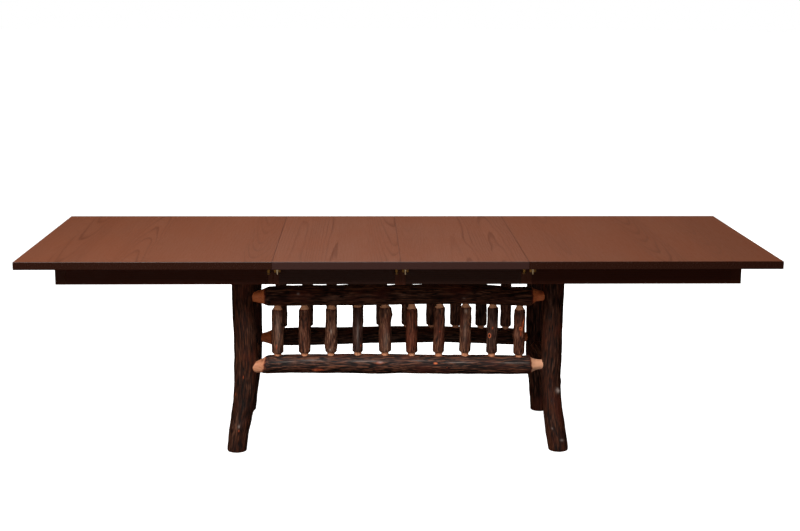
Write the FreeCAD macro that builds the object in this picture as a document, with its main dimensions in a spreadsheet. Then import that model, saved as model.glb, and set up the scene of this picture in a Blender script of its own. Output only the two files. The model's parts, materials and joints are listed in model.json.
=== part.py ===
import FreeCAD, Part
import math
import os
import re

import Sketcher
from FreeCAD import Rotation, Vector

# An extending dining table on a bark-on hickory log trestle, in millimetres. The origin is on the floor under
# the middle of the top, +X runs along the length, the front is toward -Y and +Z is up.

doc = FreeCAD.newDocument("HickoryTable")
sheet = doc.addObject("Spreadsheet::Sheet", "Sizes")

sizes = {
    # Top: two end sections and two leaves, grain across
    "top_length": 2743.2,
    "top_width": 1066.8,
    "table_height": 774.7,
    "top_thickness": 28.6,
    "leaf_width": 457.2,
    "seam_gap": 0.3,
    "edge_radius": 2,
    # Skirts under the top, with blocks at the corners and at each seam
    "skirt_setback": 75,
    "end_setback": 132,
    "skirt_height": 68,
    "skirt_thickness": 22,
    "corner_block_size": 38,
    "seam_block_width": 19,
    "seam_block_depth": 30,
    "seam_block_drop": 3,
    # Extension slides: a fixed center slide between two side slides, twice
    "slide_set_offset": 150,
    "slide_height": 42,
    "center_slide_width": 32,
    "center_slide_length": 1220,
    "side_slide_width": 36,
    "slide_end_gap": 27.6,
    "slide_overlap": 51,
    "slide_side_gap": 0.5,
    "slide_play": 0.3,
    "slide_tongue_height": 10,
    "slide_tongue_depth": 7,
    "slide_tongue_rise": 6,
    # Racks and pinions that tie the two halves together
    "gear_module": 2.75,
    "gear_backlash": 0.25,
    "gear_face": 8,
    "gear_rise": 24.5,
    "rack_back": 3,
    "axle_diameter": 8,
    "axle_play": 0.05,
    "window_gap": 1.5,
    # Bolsters across the leg tops, and the screws that hold the center slides down on them
    "bolster_thickness": 23.5,
    "bolster_width": 110,
    "bolster_length": 680,
    "bolster_clearance": 0.5,
    "slide_screw_diameter": 5,
    "slide_screw_depth": 22,
    "slide_screw_spread": 50,
    "slide_screw_head_diameter": 10,
    "slide_screw_head_height": 3,
    # Legs: hickory logs that kick outward at the foot
    "leg_spacing": 1166,
    "leg_depth": 524,
    "leg_diameter": 84,
    "leg_splay": 32,
    "leg_splay_back": 10,
    "leg_tenon_diameter": 38,
    "leg_tenon_length": 18,
    # Long rails front and back, and a lower cross rail at each end
    "rail_diameter": 68,
    "rail_bark_length": 1004,
    "rail_cone_length": 40,
    "rail_shoulder": 3,
    "rail_tenon_diameter": 37,
    "rail_tenon_stop": 12,
    "upper_rail_drop": 87.1,
    "front_lower_rail_height": 326,
    "rear_lower_rail_height": 318,
    "cross_rail_diameter": 66,
    "cross_rail_bark_length": 366,
    "cross_rail_tenon_diameter": 30,
    "cross_rail_height": 279,
    # Spindles between the long rails
    "spindle_diameter": 40,
    "spindle_shoulder": 4,
    "spindle_tenon_diameter": 21,
    "spindle_tenon_depth": 20,
    "spindle_foot": 10,
    "spindle_neck": 19,
    "front_spindle_pitch": 101.5,
    "rear_spindle_pitch": 103.7,
    "rear_spindle_shift": 4.5,
    "glue_gap": 0.15,
    # Latches under the top's overhang: a hook swings across the seam onto a keeper's tongue
    "latch_setback": 30,
    "latch_pivot_offset": 14,
    "keeper_offset": 17,
    "wood_screw_diameter": 4,
    "wood_screw_depth": 14,
    "hook_drop": 16.3,
    "hook_thickness": 2.5,
    "hook_width": 13,
    "hook_eye": 7,
    "hook_nose": 10,
    "hook_slot_width": 9.6,
    "hook_slot_reach": 4.2,
    "pivot_shoulder_diameter": 9,
    "pivot_journal_diameter": 6,
    "pivot_play": 0.05,
    "pivot_head_diameter": 10,
    "pivot_head_height": 2.5,
    "keeper_length": 30,
    "keeper_width": 14,
    "keeper_thickness": 3,
    "keeper_tongue_width": 7.5,
    "keeper_tongue_tip": 2,
    "keeper_tongue_thickness": 6,
    "keeper_tongue_drop": 23,
    "keeper_post_spacing": 16,
    "keeper_post_diameter": 8,
    "keeper_post_drop": 15.3,
    "keeper_post_bevel": 2,
}

pinion_teeth = 14
pressure_angle = math.radians(25)
dedendum_share = 1.25
spindle_count = 10

# Stations up a leg, as shares of its height, splay and diameter: the left logs swell at the knee
left_leg_shares = [
    (0, 0.9, 0.76),
    (0.01, 0.9, 0.86),
    (0.1, 0.7, 0.92),
    (0.21, 0.42, 1.03),
    (0.28, 0.1, 1.02),
    (0.38, -0.2, 1.01),
    (0.51, -0.28, 1.03),
    (0.74, -0.12, 1.01),
    (1, 0, 1),
]
right_leg_shares = [
    (0, 1, 0.77),
    (0.01, 1, 0.87),
    (0.1, 0.7, 0.87),
    (0.2, 0.36, 0.86),
    (0.3, 0.06, 0.86),
    (0.39, 0, 0.88),
    (0.5, -0.03, 0.91),
    (0.74, -0.03, 0.94),
    (1, 0, 0.96),
]

for row, (alias, number) in enumerate(sizes.items(), 1):
    sheet.set(f"A{row}", alias)
    sheet.set(f"B{row}", str(number))
    sheet.setAlias(f"B{row}", alias)
doc.recompute()

# Heights and faces that many pieces share, as formulas in the sizes
underside = "(table_height - top_thickness)"
side_slide_floor = f"({underside} - slide_height)"
bolster_top = f"({side_slide_floor} - bolster_clearance)"
bolster_floor = f"({bolster_top} - bolster_thickness)"
center_slide_height = "(slide_height + bolster_clearance - slide_play)"
skirt_face = "(top_width / 2 - skirt_setback)"
skirt_end = "(top_length / 2 - end_setback)"
pitch_radius = f"(gear_module * {pinion_teeth} / 2)"
side_slide_face = "(center_slide_width / 2 + slide_side_gap)"
rack_back_face = f"({pitch_radius} + gear_module * {dedendum_share} + rack_back)"
upper_rail_height = f"({bolster_floor} - upper_rail_drop)"
latch_line = "(top_width / 2 - latch_setback)"
hook_reach = "(latch_pivot_offset + keeper_offset)"

hands = {"left": -1, "right": 1}
sides = {"front": -1, "rear": 1}
nodes = {}


def formula(text):
    def spell(word):
        return "Sizes." + word.group() if word.group() in sizes else word.group()

    return re.sub(r"[a-z][a-z0-9_]*", spell, text)


def size(text):
    return float(sheet.evalExpression(formula(text)))


def bind(thing, name, text):
    thing.setExpression(name, formula(text))


def place(thing, x, y, z):
    bind(thing, "Placement.Base.x", x)
    bind(thing, "Placement.Base.y", y)
    bind(thing, "Placement.Base.z", z)


def node(label, thing):
    thing.Label = label
    nodes[label] = thing
    return thing


def ordered(first, second):
    return (first, second) if size(first) < size(second) else (second, first)


# Part primitives

def board(name, x_faces, y_faces, z_faces):
    box = doc.addObject("Part::Box", name)
    lows = []
    for edge, faces in zip(("Length", "Width", "Height"), (x_faces, y_faces, z_faces)):
        low, high = ordered(*faces)
        bind(box, edge, f"({high}) - ({low})")
        lows.append(low)
    place(box, *lows)
    return box


def rod(name, diameter, length, x, y, z, axis=Vector(0, 0, 1)):
    cylinder = doc.addObject("Part::Cylinder", name)
    cylinder.Placement.Rotation = Rotation(Vector(0, 0, 1), axis)
    bind(cylinder, "Radius", f"({diameter}) / 2")
    bind(cylinder, "Height", length)
    place(cylinder, x, y, z)
    return cylinder


def taper(name, first_diameter, last_diameter, length, x, y, z, axis):
    cone = doc.addObject("Part::Cone", name)
    cone.Placement.Rotation = Rotation(Vector(0, 0, 1), axis)
    bind(cone, "Radius1", f"({first_diameter}) / 2")
    bind(cone, "Radius2", f"({last_diameter}) / 2")
    bind(cone, "Height", length)
    place(cone, x, y, z)
    return cone


def group(name, things):
    compound = doc.addObject("Part::Compound", name)
    compound.Links = things
    return compound


def cut(name, base, tools):
    result = doc.addObject("Part::Cut", name)
    result.Base = base
    result.Tool = group(name + "_cuts", tools)
    return result


def fuse(name, things):
    result = doc.addObject("Part::MultiFuse", name)
    result.Shapes = things
    return result


# PartDesign bodies and sketches

def sketch_on(body, plane, name, offset=None):
    sketch = body.newObject("Sketcher::SketchObject", name)
    origin_plane = next(feature for feature in body.Origin.OriginFeatures if feature.Role == plane)
    sketch.AttachmentSupport = (origin_plane, [""])
    sketch.MapMode = "FlatFace"
    if offset:
        bind(sketch, "AttachmentOffset.Base.z", offset)
    return sketch


def fix(sketch, kind, first, second, number, text):
    index = sketch.addConstraint(Sketcher.Constraint(kind, *first, *second, number))
    name = f"{kind}{index}"
    sketch.renameConstraint(index, name)
    sketch.setExpression(f"Constraints.{name}", formula(text))


def polygon(body, plane, name, corners, offset=None):
    sketch = sketch_on(body, plane, name, offset)
    points = [Vector(size(x), size(y), 0) for x, y in corners]
    count = len(points)
    for i, point in enumerate(points):
        sketch.addGeometry(Part.LineSegment(point, points[(i + 1) % count]), False)
    for i in range(count):
        sketch.addConstraint(Sketcher.Constraint("Coincident", i, 2, (i + 1) % count, 1))
    for i, (x, y) in enumerate(corners):
        fix(sketch, "DistanceX", (-1, 1), (i, 1), points[i].x, x)
        fix(sketch, "DistanceY", (-1, 1), (i, 1), points[i].y, y)
    return sketch


def circles(body, plane, name, diameter, centers, offset=None):
    sketch = sketch_on(body, plane, name, offset)
    radius = size(diameter) / 2
    for i, (x, y) in enumerate(centers):
        center = Vector(size(x), size(y), 0)
        sketch.addGeometry(Part.Circle(center, Vector(0, 0, 1), radius), False)
        fix(sketch, "DistanceX", (-1, 1), (i, 3), center.x, x)
        fix(sketch, "DistanceY", (-1, 1), (i, 3), center.y, y)
        fix(sketch, "Radius", (i,), (), radius, f"({diameter}) / 2")
    return sketch


def rectangle_corners(x_faces, y_faces):
    (x_low, x_high), (y_low, y_high) = x_faces, y_faces
    return [(x_low, y_low), (x_high, y_low), (x_high, y_high), (x_low, y_high)]


def new_body(name):
    return doc.addObject("PartDesign::Body", name)


def pad(body, sketch, length, centered=False):
    feature = body.newObject("PartDesign::Pad", sketch.Name + "_pad")
    feature.Profile = sketch
    feature.Midplane = centered
    bind(feature, "Length", length)
    return feature


def pocket(body, sketch, length, centered=False, upward=False):
    doc.recompute()
    before = body.Shape.Volume
    feature = body.newObject("PartDesign::Pocket", sketch.Name + "_pocket")
    feature.Profile = sketch
    feature.Midplane = centered
    feature.Reversed = upward
    bind(feature, "Length", length)
    doc.recompute()
    if body.Shape.Volume >= before:
        raise ValueError(f"{feature.Name} removes nothing")
    return feature


def revolve(body, sketch, axis):
    feature = body.newObject("PartDesign::Revolution", sketch.Name + "_turned")
    feature.Profile = sketch
    feature.ReferenceAxis = (sketch, [axis])
    feature.Angle = 360
    return feature


def turned_pin(name, outline, x, y, z):
    body = new_body(name)
    revolve(body, polygon(body, "XZ_Plane", name + "_outline", outline), "V_Axis")
    place(body, x, y, z)
    return body


# Top sections, from the left: end section, two leaves, end section

sections = {
    "left_top": ("-top_length / 2", "-leaf_width - seam_gap / 2"),
    "leaf_1": ("-leaf_width + seam_gap / 2", "-seam_gap / 2"),
    "leaf_2": ("seam_gap / 2", "leaf_width - seam_gap / 2"),
    "right_top": ("leaf_width + seam_gap / 2", "top_length / 2"),
}
seams = [
    ("left_top", "leaf_1", "-leaf_width"),
    ("leaf_1", "leaf_2", "0"),
    ("leaf_2", "right_top", "leaf_width"),
]


def screw_places(section):
    places = []
    for holder, receiver, seam in seams:
        for side in sides.values():
            if section == holder:
                places.append((f"{seam} - latch_pivot_offset", f"{side} * {latch_line}"))
            if section == receiver:
                for post in (-1, 1):
                    x = f"{seam} + keeper_offset + {post} * keeper_post_spacing / 2"
                    places.append((x, f"{side} * {latch_line}"))
    return places


def outer_edges(shape):
    half_length = size("top_length / 2")
    half_width = size("top_width / 2")
    half_thickness = size("top_thickness / 2")
    names = []
    for i, edge in enumerate(shape.Edges, 1):
        middle = edge.BoundBox.Center
        at_end = math.isclose(abs(middle.x), half_length)
        at_side = math.isclose(abs(middle.y), half_width)
        upright = math.isclose(middle.z, half_thickness)
        if (at_end and at_side) if upright else (at_end or at_side):
            names.append(f"Edge{i}")
    return names


def top_panel(section):
    start, end = sections[section]
    body = new_body(section + "_board")
    y_faces = ("-top_width / 2", "top_width / 2")
    outline = polygon(body, "XY_Plane", section + "_outline", rectangle_corners((start, end), y_faces))
    pad(body, outline, "top_thickness")
    bores = circles(body, "XY_Plane", section + "_screws", "wood_screw_diameter", screw_places(section))
    drilled = pocket(body, bores, "wood_screw_depth + glue_gap", upward=True)
    rounded = body.newObject("PartDesign::Fillet", section + "_eased")
    rounded.Base = (drilled, outer_edges(drilled.Shape))
    bind(rounded, "Radius", "edge_radius")
    place(body, "0", "0", underside)
    node(section + "_panel", body)


for section in sections:
    top_panel(section)


# Skirts: boards between square corner blocks and narrow seam blocks

skirt_z = (underside, f"{underside} - skirt_height")
block_z = (underside, f"{underside} - skirt_height - seam_block_drop")


def skirt_y(side, depth):
    return (f"{side} * {skirt_face}", f"{side} * ({skirt_face} - {depth})")


for hand_name, hand in hands.items():
    section = hand_name + "_top"
    corner_x = (f"{hand} * {skirt_end}", f"{hand} * ({skirt_end} - corner_block_size)")
    seam_end = f"{hand} * (leaf_width + seam_gap / 2)"
    block_start = f"{hand} * (leaf_width + seam_gap / 2 + seam_block_width)"
    corners = []
    seam_blocks = []
    for side_name, side in sides.items():
        name = f"{hand_name}_{side_name}"
        y_faces = skirt_y(side, "skirt_thickness")
        long_x = (corner_x[1], block_start)
        node(f"{name}_skirt", board(f"{name}_skirt_board", long_x, y_faces, skirt_z))
        corners.append(board(f"{name}_corner_block", corner_x, skirt_y(side, "corner_block_size"), skirt_z))
        block_y = skirt_y(side, "seam_block_depth")
        seam_blocks.append(board(f"{name}_seam_block", (block_start, seam_end), block_y, block_z))
    end_x = (f"{hand} * {skirt_end}", f"{hand} * ({skirt_end} - skirt_thickness)")
    end_y = (f"-({skirt_face} - corner_block_size)", f"{skirt_face} - corner_block_size")
    node(f"{hand_name}_end_skirt", board(f"{hand_name}_end_skirt_board", end_x, end_y, skirt_z))
    node(f"{hand_name}_corner_blocks", group(f"{hand_name}_corner_pair", corners))
    node(f"{hand_name}_seam_blocks", group(f"{hand_name}_seam_pair", seam_blocks))

for leaf in ("leaf_1", "leaf_2"):
    start, end = sections[leaf]
    inner_x = (f"{start} + seam_block_width", f"{end} - seam_block_width")
    blocks = []
    for side_name, side in sides.items():
        skirt = board(f"{leaf}_{side_name}_skirt_board", inner_x, skirt_y(side, "skirt_thickness"), skirt_z)
        node(f"{leaf}_{side_name}_skirt", skirt)
        block_y = skirt_y(side, "seam_block_depth")
        blocks.append(board(f"{leaf}_{side_name}_start_block", (start, inner_x[0]), block_y, block_z))
        blocks.append(board(f"{leaf}_{side_name}_end_block", (inner_x[1], end), block_y, block_z))
    node(f"{leaf}_seam_blocks", group(f"{leaf}_blocks", blocks))


# Extension slides: tongues on the fixed center slide run in the side slides, whose racks turn the pinion

def center_slide(side_name, side):
    half = "center_slide_width / 2"
    tongue = f"{half} + slide_tongue_depth"
    low = "slide_tongue_rise"
    high = "slide_tongue_rise + slide_tongue_height"
    right_edge = [
        (half, "0"),
        (half, low),
        (tongue, low),
        (tongue, high),
        (half, high),
        (half, center_slide_height),
    ]
    left_edge = [(f"-({y})", z) for y, z in reversed(right_edge)]
    body = new_body(f"{side_name}_center_slide_bar")
    name = body.Name
    outline = polygon(body, "YZ_Plane", name + "_outline", right_edge + left_edge)
    pad(body, outline, "center_slide_length", centered=True)
    window_half = f"({pitch_radius} + gear_module + window_gap)"
    window_z = ("gear_rise - slide_play", "gear_rise + gear_face + slide_play")
    corners = rectangle_corners((f"-{window_half}", window_half), window_z)
    window = polygon(body, "XZ_Plane", name + "_window", corners)
    pocket(body, window, "center_slide_width * 2", centered=True)
    axle_bore = circles(body, "XY_Plane", name + "_axle", "axle_diameter", [("0", "0")])
    pocket(body, axle_bore, center_slide_height, upward=True)
    places = [(x, "0") for x in slide_screw_x]
    screws = circles(body, "XY_Plane", name + "_screws", "slide_screw_diameter", places)
    pocket(body, screws, "slide_screw_depth + glue_gap", upward=True)
    place(body, "0", f"{side} * slide_set_offset", bolster_top)
    node(f"{side_name}_center_slide", body)


def side_slide(hand_name, hand, side_name, side):
    # Left slides run outside their center slide and right slides inside it
    out = -hand * side
    inner = side_slide_face
    outer = f"({side_slide_face} + side_slide_width)"
    rack_floor = "gear_rise - bolster_clearance - slide_play"
    rack_ceiling = "gear_rise - bolster_clearance + gear_face + slide_play"
    rack_wall = f"({rack_back_face} + glue_gap)"
    groove_floor = "slide_tongue_rise - bolster_clearance - slide_play"
    groove_ceiling = "slide_tongue_rise - bolster_clearance + slide_tongue_height + slide_play"
    groove_wall = "(center_slide_width / 2 + slide_tongue_depth + slide_side_gap)"
    outline = [
        (inner, "0"),
        (outer, "0"),
        (outer, "slide_height"),
        (inner, "slide_height"),
        (inner, rack_ceiling),
        (rack_wall, rack_ceiling),
        (rack_wall, rack_floor),
        (inner, rack_floor),
        (inner, groove_ceiling),
        (groove_wall, groove_ceiling),
        (groove_wall, groove_floor),
        (inner, groove_floor),
    ]
    body = new_body(f"{hand_name}_{side_name}_slide_bar")
    corners = [(f"{out} * {y}", z) for y, z in outline]
    far_end = f"{hand} * ({skirt_end} - skirt_thickness - slide_end_gap)"
    start, end = ordered(far_end, f"{-hand} * slide_overlap")
    pad(body, polygon(body, "YZ_Plane", body.Name + "_outline", corners), f"{end} - ({start})")
    place(body, start, f"{side} * slide_set_offset", side_slide_floor)
    node(f"{hand_name}_{side_name}_slide", body)


def pinion_shape():
    radius = size(pitch_radius)
    tip = radius + size("gear_module")
    root = radius - size("gear_module") * dedendum_share
    base = radius * math.cos(pressure_angle)
    half_tooth = math.pi / (2 * pinion_teeth) - size("gear_backlash") / (4 * radius)

    def spread(r):
        roll = math.acos(min(1, base / r))
        return half_tooth + math.tan(pressure_angle) - pressure_angle - (math.tan(roll) - roll)

    flank_steps = 4
    radii = [root] + [base + (tip - base) * step / flank_steps for step in range(flank_steps + 1)]
    points = []
    for tooth in range(pinion_teeth):
        middle = math.pi / 2 + 2 * math.pi * tooth / pinion_teeth
        rising = [(r, middle - spread(max(r, base))) for r in radii]
        falling = [(r, middle + spread(max(r, base))) for r in reversed(radii)]
        points += [Vector(r * math.cos(a), r * math.sin(a), 0) for r, a in rising + falling]
    points.append(points[0])
    gear = Part.Face(Part.makePolygon(points)).extrude(Vector(0, 0, size("gear_face")))
    bore = Part.makeCylinder(size("axle_diameter / 2 + axle_play"), size("gear_face"))
    return gear.cut(bore)


def rack_shape(hand, out):
    # A gap between teeth stands over each pinion while the leaves are in place
    pitch = math.pi * size("gear_module")
    depth = size("gear_module")
    slope = math.tan(pressure_angle)
    gap = pitch / 4 + size("gear_backlash / 4")
    tips = size(pitch_radius) - depth
    root_depth = depth * dedendum_share
    roots = size(pitch_radius) + root_depth
    back = size(rack_back_face)
    outward = math.ceil(size("leaf_width + slide_overlap / 2") / pitch)
    inward = int(size("slide_overlap") / pitch)
    steps = range(-outward, inward + 1)
    points = [((steps[0] - 0.5) * pitch, back), ((steps[0] - 0.5) * pitch, tips)]
    for step in steps:
        middle = step * pitch
        points.append((middle - gap - depth * slope, tips))
        points.append((middle - gap + root_depth * slope, roots))
        points.append((middle + gap - root_depth * slope, roots))
        points.append((middle + gap + depth * slope, tips))
    points += [((steps[-1] + 0.5) * pitch, tips), ((steps[-1] + 0.5) * pitch, back)]
    corners = [Vector(-hand * x, out * y, 0) for x, y in points]
    corners.append(corners[0])
    return Part.Face(Part.makePolygon(corners)).extrude(Vector(0, 0, size("gear_face")))


def feature(name, shape, x, y, z):
    thing = doc.addObject("Part::Feature", name)
    thing.Shape = shape
    place(thing, x, y, z)
    return thing


slide_screw_x = [
    f"{hand} * leg_spacing / 2 + {end} * slide_screw_spread / 2" for hand in hands.values() for end in (-1, 1)
]
for side_name, side in sides.items():
    center_slide(side_name, side)
    for hand_name, hand in hands.items():
        side_slide(hand_name, hand, side_name, side)

gear_floor = f"({bolster_top} + gear_rise)"
for hand_name, hand in hands.items():
    racks = []
    for side_name, side in sides.items():
        name = f"{hand_name}_{side_name}_rack"
        shape = rack_shape(hand, -hand * side)
        racks.append(feature(name, shape, "0", f"{side} * slide_set_offset", gear_floor))
    node(f"{hand_name}_racks", group(f"{hand_name}_rack_pair", racks))

axles = []
for side_name, side in sides.items():
    y = f"{side} * slide_set_offset"
    node(f"{side_name}_pinion", feature(f"{side_name}_pinion_gear", pinion_shape(), "0", y, gear_floor))
    axles.append(rod(f"{side_name}_axle", "axle_diameter", center_slide_height, "0", y, bolster_top))
node("pinion_axles", group("axle_pair", axles))


# Bolsters and the screws up through them

slide_screw_outline = [
    ("0", "-slide_screw_head_height"),
    ("slide_screw_head_diameter / 2", "-slide_screw_head_height"),
    ("slide_screw_head_diameter / 2", "0"),
    ("slide_screw_diameter / 2", "0"),
    ("slide_screw_diameter / 2", "bolster_thickness + slide_screw_depth"),
    ("0", "bolster_thickness + slide_screw_depth"),
]
slide_screws = []
for hand_name, hand in hands.items():
    middle = f"{hand} * leg_spacing / 2"
    x_faces = (f"{middle} - bolster_width / 2", f"{middle} + bolster_width / 2")
    y_faces = ("-bolster_length / 2", "bolster_length / 2")
    plank = board(f"{hand_name}_plank", x_faces, y_faces, (bolster_floor, bolster_top))
    bores = []
    for side_name, side in sides.items():
        name = f"{hand_name}_{side_name}_leg_mortise"
        y = f"{side} * leg_depth / 2"
        mortise = "leg_tenon_diameter + 2 * glue_gap"
        bores.append(rod(name, mortise, "leg_tenon_length + glue_gap", middle, y, bolster_floor))
        y = f"{side} * slide_set_offset"
        for end in (-1, 1):
            x = f"{middle} + {end} * slide_screw_spread / 2"
            name = f"slide_screw_{len(slide_screws) + 1}"
            screw = turned_pin(name, slide_screw_outline, x, y, bolster_floor)
            bore = rod(screw.Name + "_bore", "slide_screw_diameter", "bolster_thickness", x, y, bolster_floor)
            slide_screws.append(screw)
            bores.append(bore)
    node(f"{hand_name}_bolster", cut(f"{hand_name}_bolster_plank", plank, bores))
node("slide_screws", group("slide_screw_set", slide_screws))


# Legs: round stations joined into a log, with a tenon on top and a tapered mortise for each rail

rail_bore = "rail_tenon_diameter + 2 * glue_gap"
rail_mouth = "rail_diameter - 2 * rail_shoulder + 2 * glue_gap"
cross_bore = "cross_rail_tenon_diameter + 2 * glue_gap"
cross_mouth = "cross_rail_diameter - 2 * rail_shoulder + 2 * glue_gap"


def rail_height(side_name, level):
    return upper_rail_height if level == "upper" else f"{side_name}_lower_rail_height"


def leg(hand_name, hand, side_name, side, shares):
    name = f"{hand_name}_{side_name}_leg"
    stations = []
    for i, (height_share, lean_share, girth_share) in enumerate(shares):
        station = doc.addObject("Part::Circle", f"{name}_station_{i}")
        bind(station, "Radius", f"leg_diameter / 2 * {girth_share}")
        x = f"{hand} * (leg_spacing / 2 + leg_splay * {lean_share})"
        y = f"{side} * (leg_depth / 2 + leg_splay_back * {lean_share})"
        place(station, x, y, f"{bolster_floor} * {height_share}")
        stations.append(station)
    log = doc.addObject("Part::Loft", name + "_log")
    log.Sections = stations
    log.Solid = True
    log.Ruled = True
    x = f"{hand} * leg_spacing / 2"
    y = f"{side} * leg_depth / 2"
    tenon_z = f"{bolster_floor} - leg_tenon_length"
    tenon = rod(name + "_tenon", "leg_tenon_diameter", "leg_tenon_length * 2", x, y, tenon_z)
    mortises = []
    inward = Vector(-hand, 0, 0)
    stop = f"{hand} * (leg_spacing / 2 - rail_tenon_stop + glue_gap)"
    shoulder = f"{hand} * (rail_bark_length / 2 + rail_cone_length)"
    length = "rail_cone_length"
    for level in ("upper", "lower"):
        z = rail_height(side_name, level)
        bore_name = f"{name}_{level}_bore"
        seat_name = f"{name}_{level}_seat"
        mortises.append(rod(bore_name, rail_bore, "leg_diameter", stop, y, z, inward))
        mortises.append(taper(seat_name, rail_bore, rail_mouth, length, shoulder, y, z, inward))
    inward = Vector(0, -side, 0)
    stop = f"{side} * (leg_depth / 2 - rail_tenon_stop + glue_gap)"
    shoulder = f"{side} * (cross_rail_bark_length / 2 + rail_cone_length)"
    z = "cross_rail_height"
    seat_name = name + "_cross_seat"
    mortises.append(rod(name + "_cross_bore", cross_bore, "leg_diameter", x, stop, z, inward))
    mortises.append(taper(seat_name, cross_bore, cross_mouth, length, x, shoulder, z, inward))
    node(name, cut(name + "_mortised", fuse(name + "_tenoned", [log, tenon]), mortises))


for hand_name, shares in (("left", left_leg_shares), ("right", right_leg_shares)):
    for side_name, side in sides.items():
        leg(hand_name, hands[hand_name], side_name, side, shares)


# Rails: bark-on logs whose ends are peeled to a cone and a round tenon

def log_outline(diameter, bark_length, tenon_diameter, tenon_end):
    half = [
        (f"{bark_length} / 2 - rail_shoulder", f"{diameter} / 2"),
        (f"{bark_length} / 2", f"{diameter} / 2 - rail_shoulder"),
        (f"{bark_length} / 2 + rail_cone_length", f"{tenon_diameter} / 2"),
        (tenon_end, f"{tenon_diameter} / 2"),
        (tenon_end, "0"),
    ]
    return half + [(f"-({x})", r) for x, r in reversed(half)]


def long_rail(side_name, side, level):
    name = f"{side_name}_{level}_rail"
    facing = -1 if level == "upper" else 1
    body = new_body(name + "_log")
    tenon_end = "(leg_spacing / 2 - rail_tenon_stop)"
    outline = log_outline("rail_diameter", "rail_bark_length", "rail_tenon_diameter", tenon_end)
    revolve(body, polygon(body, "XZ_Plane", name + "_outline", outline), "H_Axis")
    bottom = f"{facing} * (rail_diameter / 2 - spindle_tenon_depth - glue_gap)"
    centers = [(x, "0") for x in spindle_x(side_name)]
    bore = "spindle_tenon_diameter + 2 * glue_gap"
    bores = circles(body, "XY_Plane", name + "_bores", bore, centers, bottom)
    pocket(body, bores, "rail_diameter", upward=facing > 0)
    place(body, "0", f"{side} * leg_depth / 2", rail_height(side_name, level))
    node(name, body)


def spindle_x(side_name):
    shift = "-rear_spindle_shift" if side_name == "rear" else "0"
    middle = (spindle_count - 1) / 2
    return [f"{i - middle} * {side_name}_spindle_pitch + {shift}" for i in range(spindle_count)]


def spindles(side_name, side):
    foot = f"({side_name}_lower_rail_height + rail_diameter / 2)"
    head = f"({upper_rail_height} - rail_diameter / 2)"
    tenon = "spindle_tenon_diameter / 2"
    full = "spindle_diameter / 2"
    neck = "spindle_diameter / 2 - spindle_shoulder"
    outline = [
        ("0", f"{foot} - spindle_tenon_depth"),
        (tenon, f"{foot} - spindle_tenon_depth"),
        (tenon, foot),
        (neck, f"{foot} + spindle_foot"),
        (full, f"{foot} + spindle_foot + spindle_shoulder"),
        (full, f"{head} - spindle_neck - spindle_shoulder"),
        (neck, f"{head} - spindle_neck"),
        (tenon, head),
        (tenon, f"{head} + spindle_tenon_depth"),
        ("0", f"{head} + spindle_tenon_depth"),
    ]
    y = f"{side} * leg_depth / 2"
    pins = []
    for i, x in enumerate(spindle_x(side_name), 1):
        pins.append(turned_pin(f"{side_name}_spindle_{i}", outline, x, y, "0"))
    node(f"{side_name}_spindles", group(f"{side_name}_spindle_row", pins))


for side_name, side in sides.items():
    for level in ("upper", "lower"):
        long_rail(side_name, side, level)
    spindles(side_name, side)

for hand_name, hand in hands.items():
    body = new_body(f"{hand_name}_cross_rail_log")
    tenon_end = "(leg_depth / 2 - rail_tenon_stop)"
    diameters = ("cross_rail_diameter", "cross_rail_tenon_diameter")
    outline = log_outline(diameters[0], "cross_rail_bark_length", diameters[1], tenon_end)
    corners = [(r, y) for y, r in outline]
    revolve(body, polygon(body, "XY_Plane", body.Name + "_outline", corners), "V_Axis")
    place(body, f"{hand} * leg_spacing / 2", "0", "cross_rail_height")
    node(f"{hand_name}_cross_rail", body)


# Latches, front and back at each seam: the hook is unlatched here, and points at the skirt

def hook(number, seam, side_name, side):
    body = new_body(f"{side_name}_hook_{number}_plate")
    name = body.Name
    away = -side
    x_faces = ("-hook_width / 2", "hook_width / 2")
    y_faces = (f"{-away} * hook_eye", f"{away} * ({hook_reach} + hook_nose)")
    outline = polygon(body, "XY_Plane", name + "_outline", rectangle_corners(x_faces, y_faces))
    plate = pad(body, outline, "hook_thickness")
    doc.recompute()
    tall = size("hook_thickness / 2")
    upright = [f"Edge{i}" for i, edge in enumerate(plate.Shape.Edges, 1) if edge.BoundBox.ZLength > tall]
    rounded = body.newObject("PartDesign::Fillet", name + "_rounded")
    rounded.Base = (plate, upright)
    bind(rounded, "Radius", "hook_slot_reach")
    slot_x = ("-hook_slot_reach", "hook_width")
    slot_y = tuple(f"{away} * {hook_reach} + {end} * hook_slot_width / 2" for end in (-1, 1))
    slot = polygon(body, "XY_Plane", name + "_slot", rectangle_corners(slot_x, slot_y))
    pocket(body, slot, "hook_thickness", upward=True)
    bore = circles(body, "XY_Plane", name + "_bore", "pivot_journal_diameter + 2 * pivot_play", [("0", "0")])
    pocket(body, bore, "hook_thickness", upward=True)
    z = f"{underside} - hook_drop - hook_thickness"
    place(body, f"{seam} - latch_pivot_offset", f"{side} * {latch_line}", z)
    node(f"{side_name}_hook_{number}", body)


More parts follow.
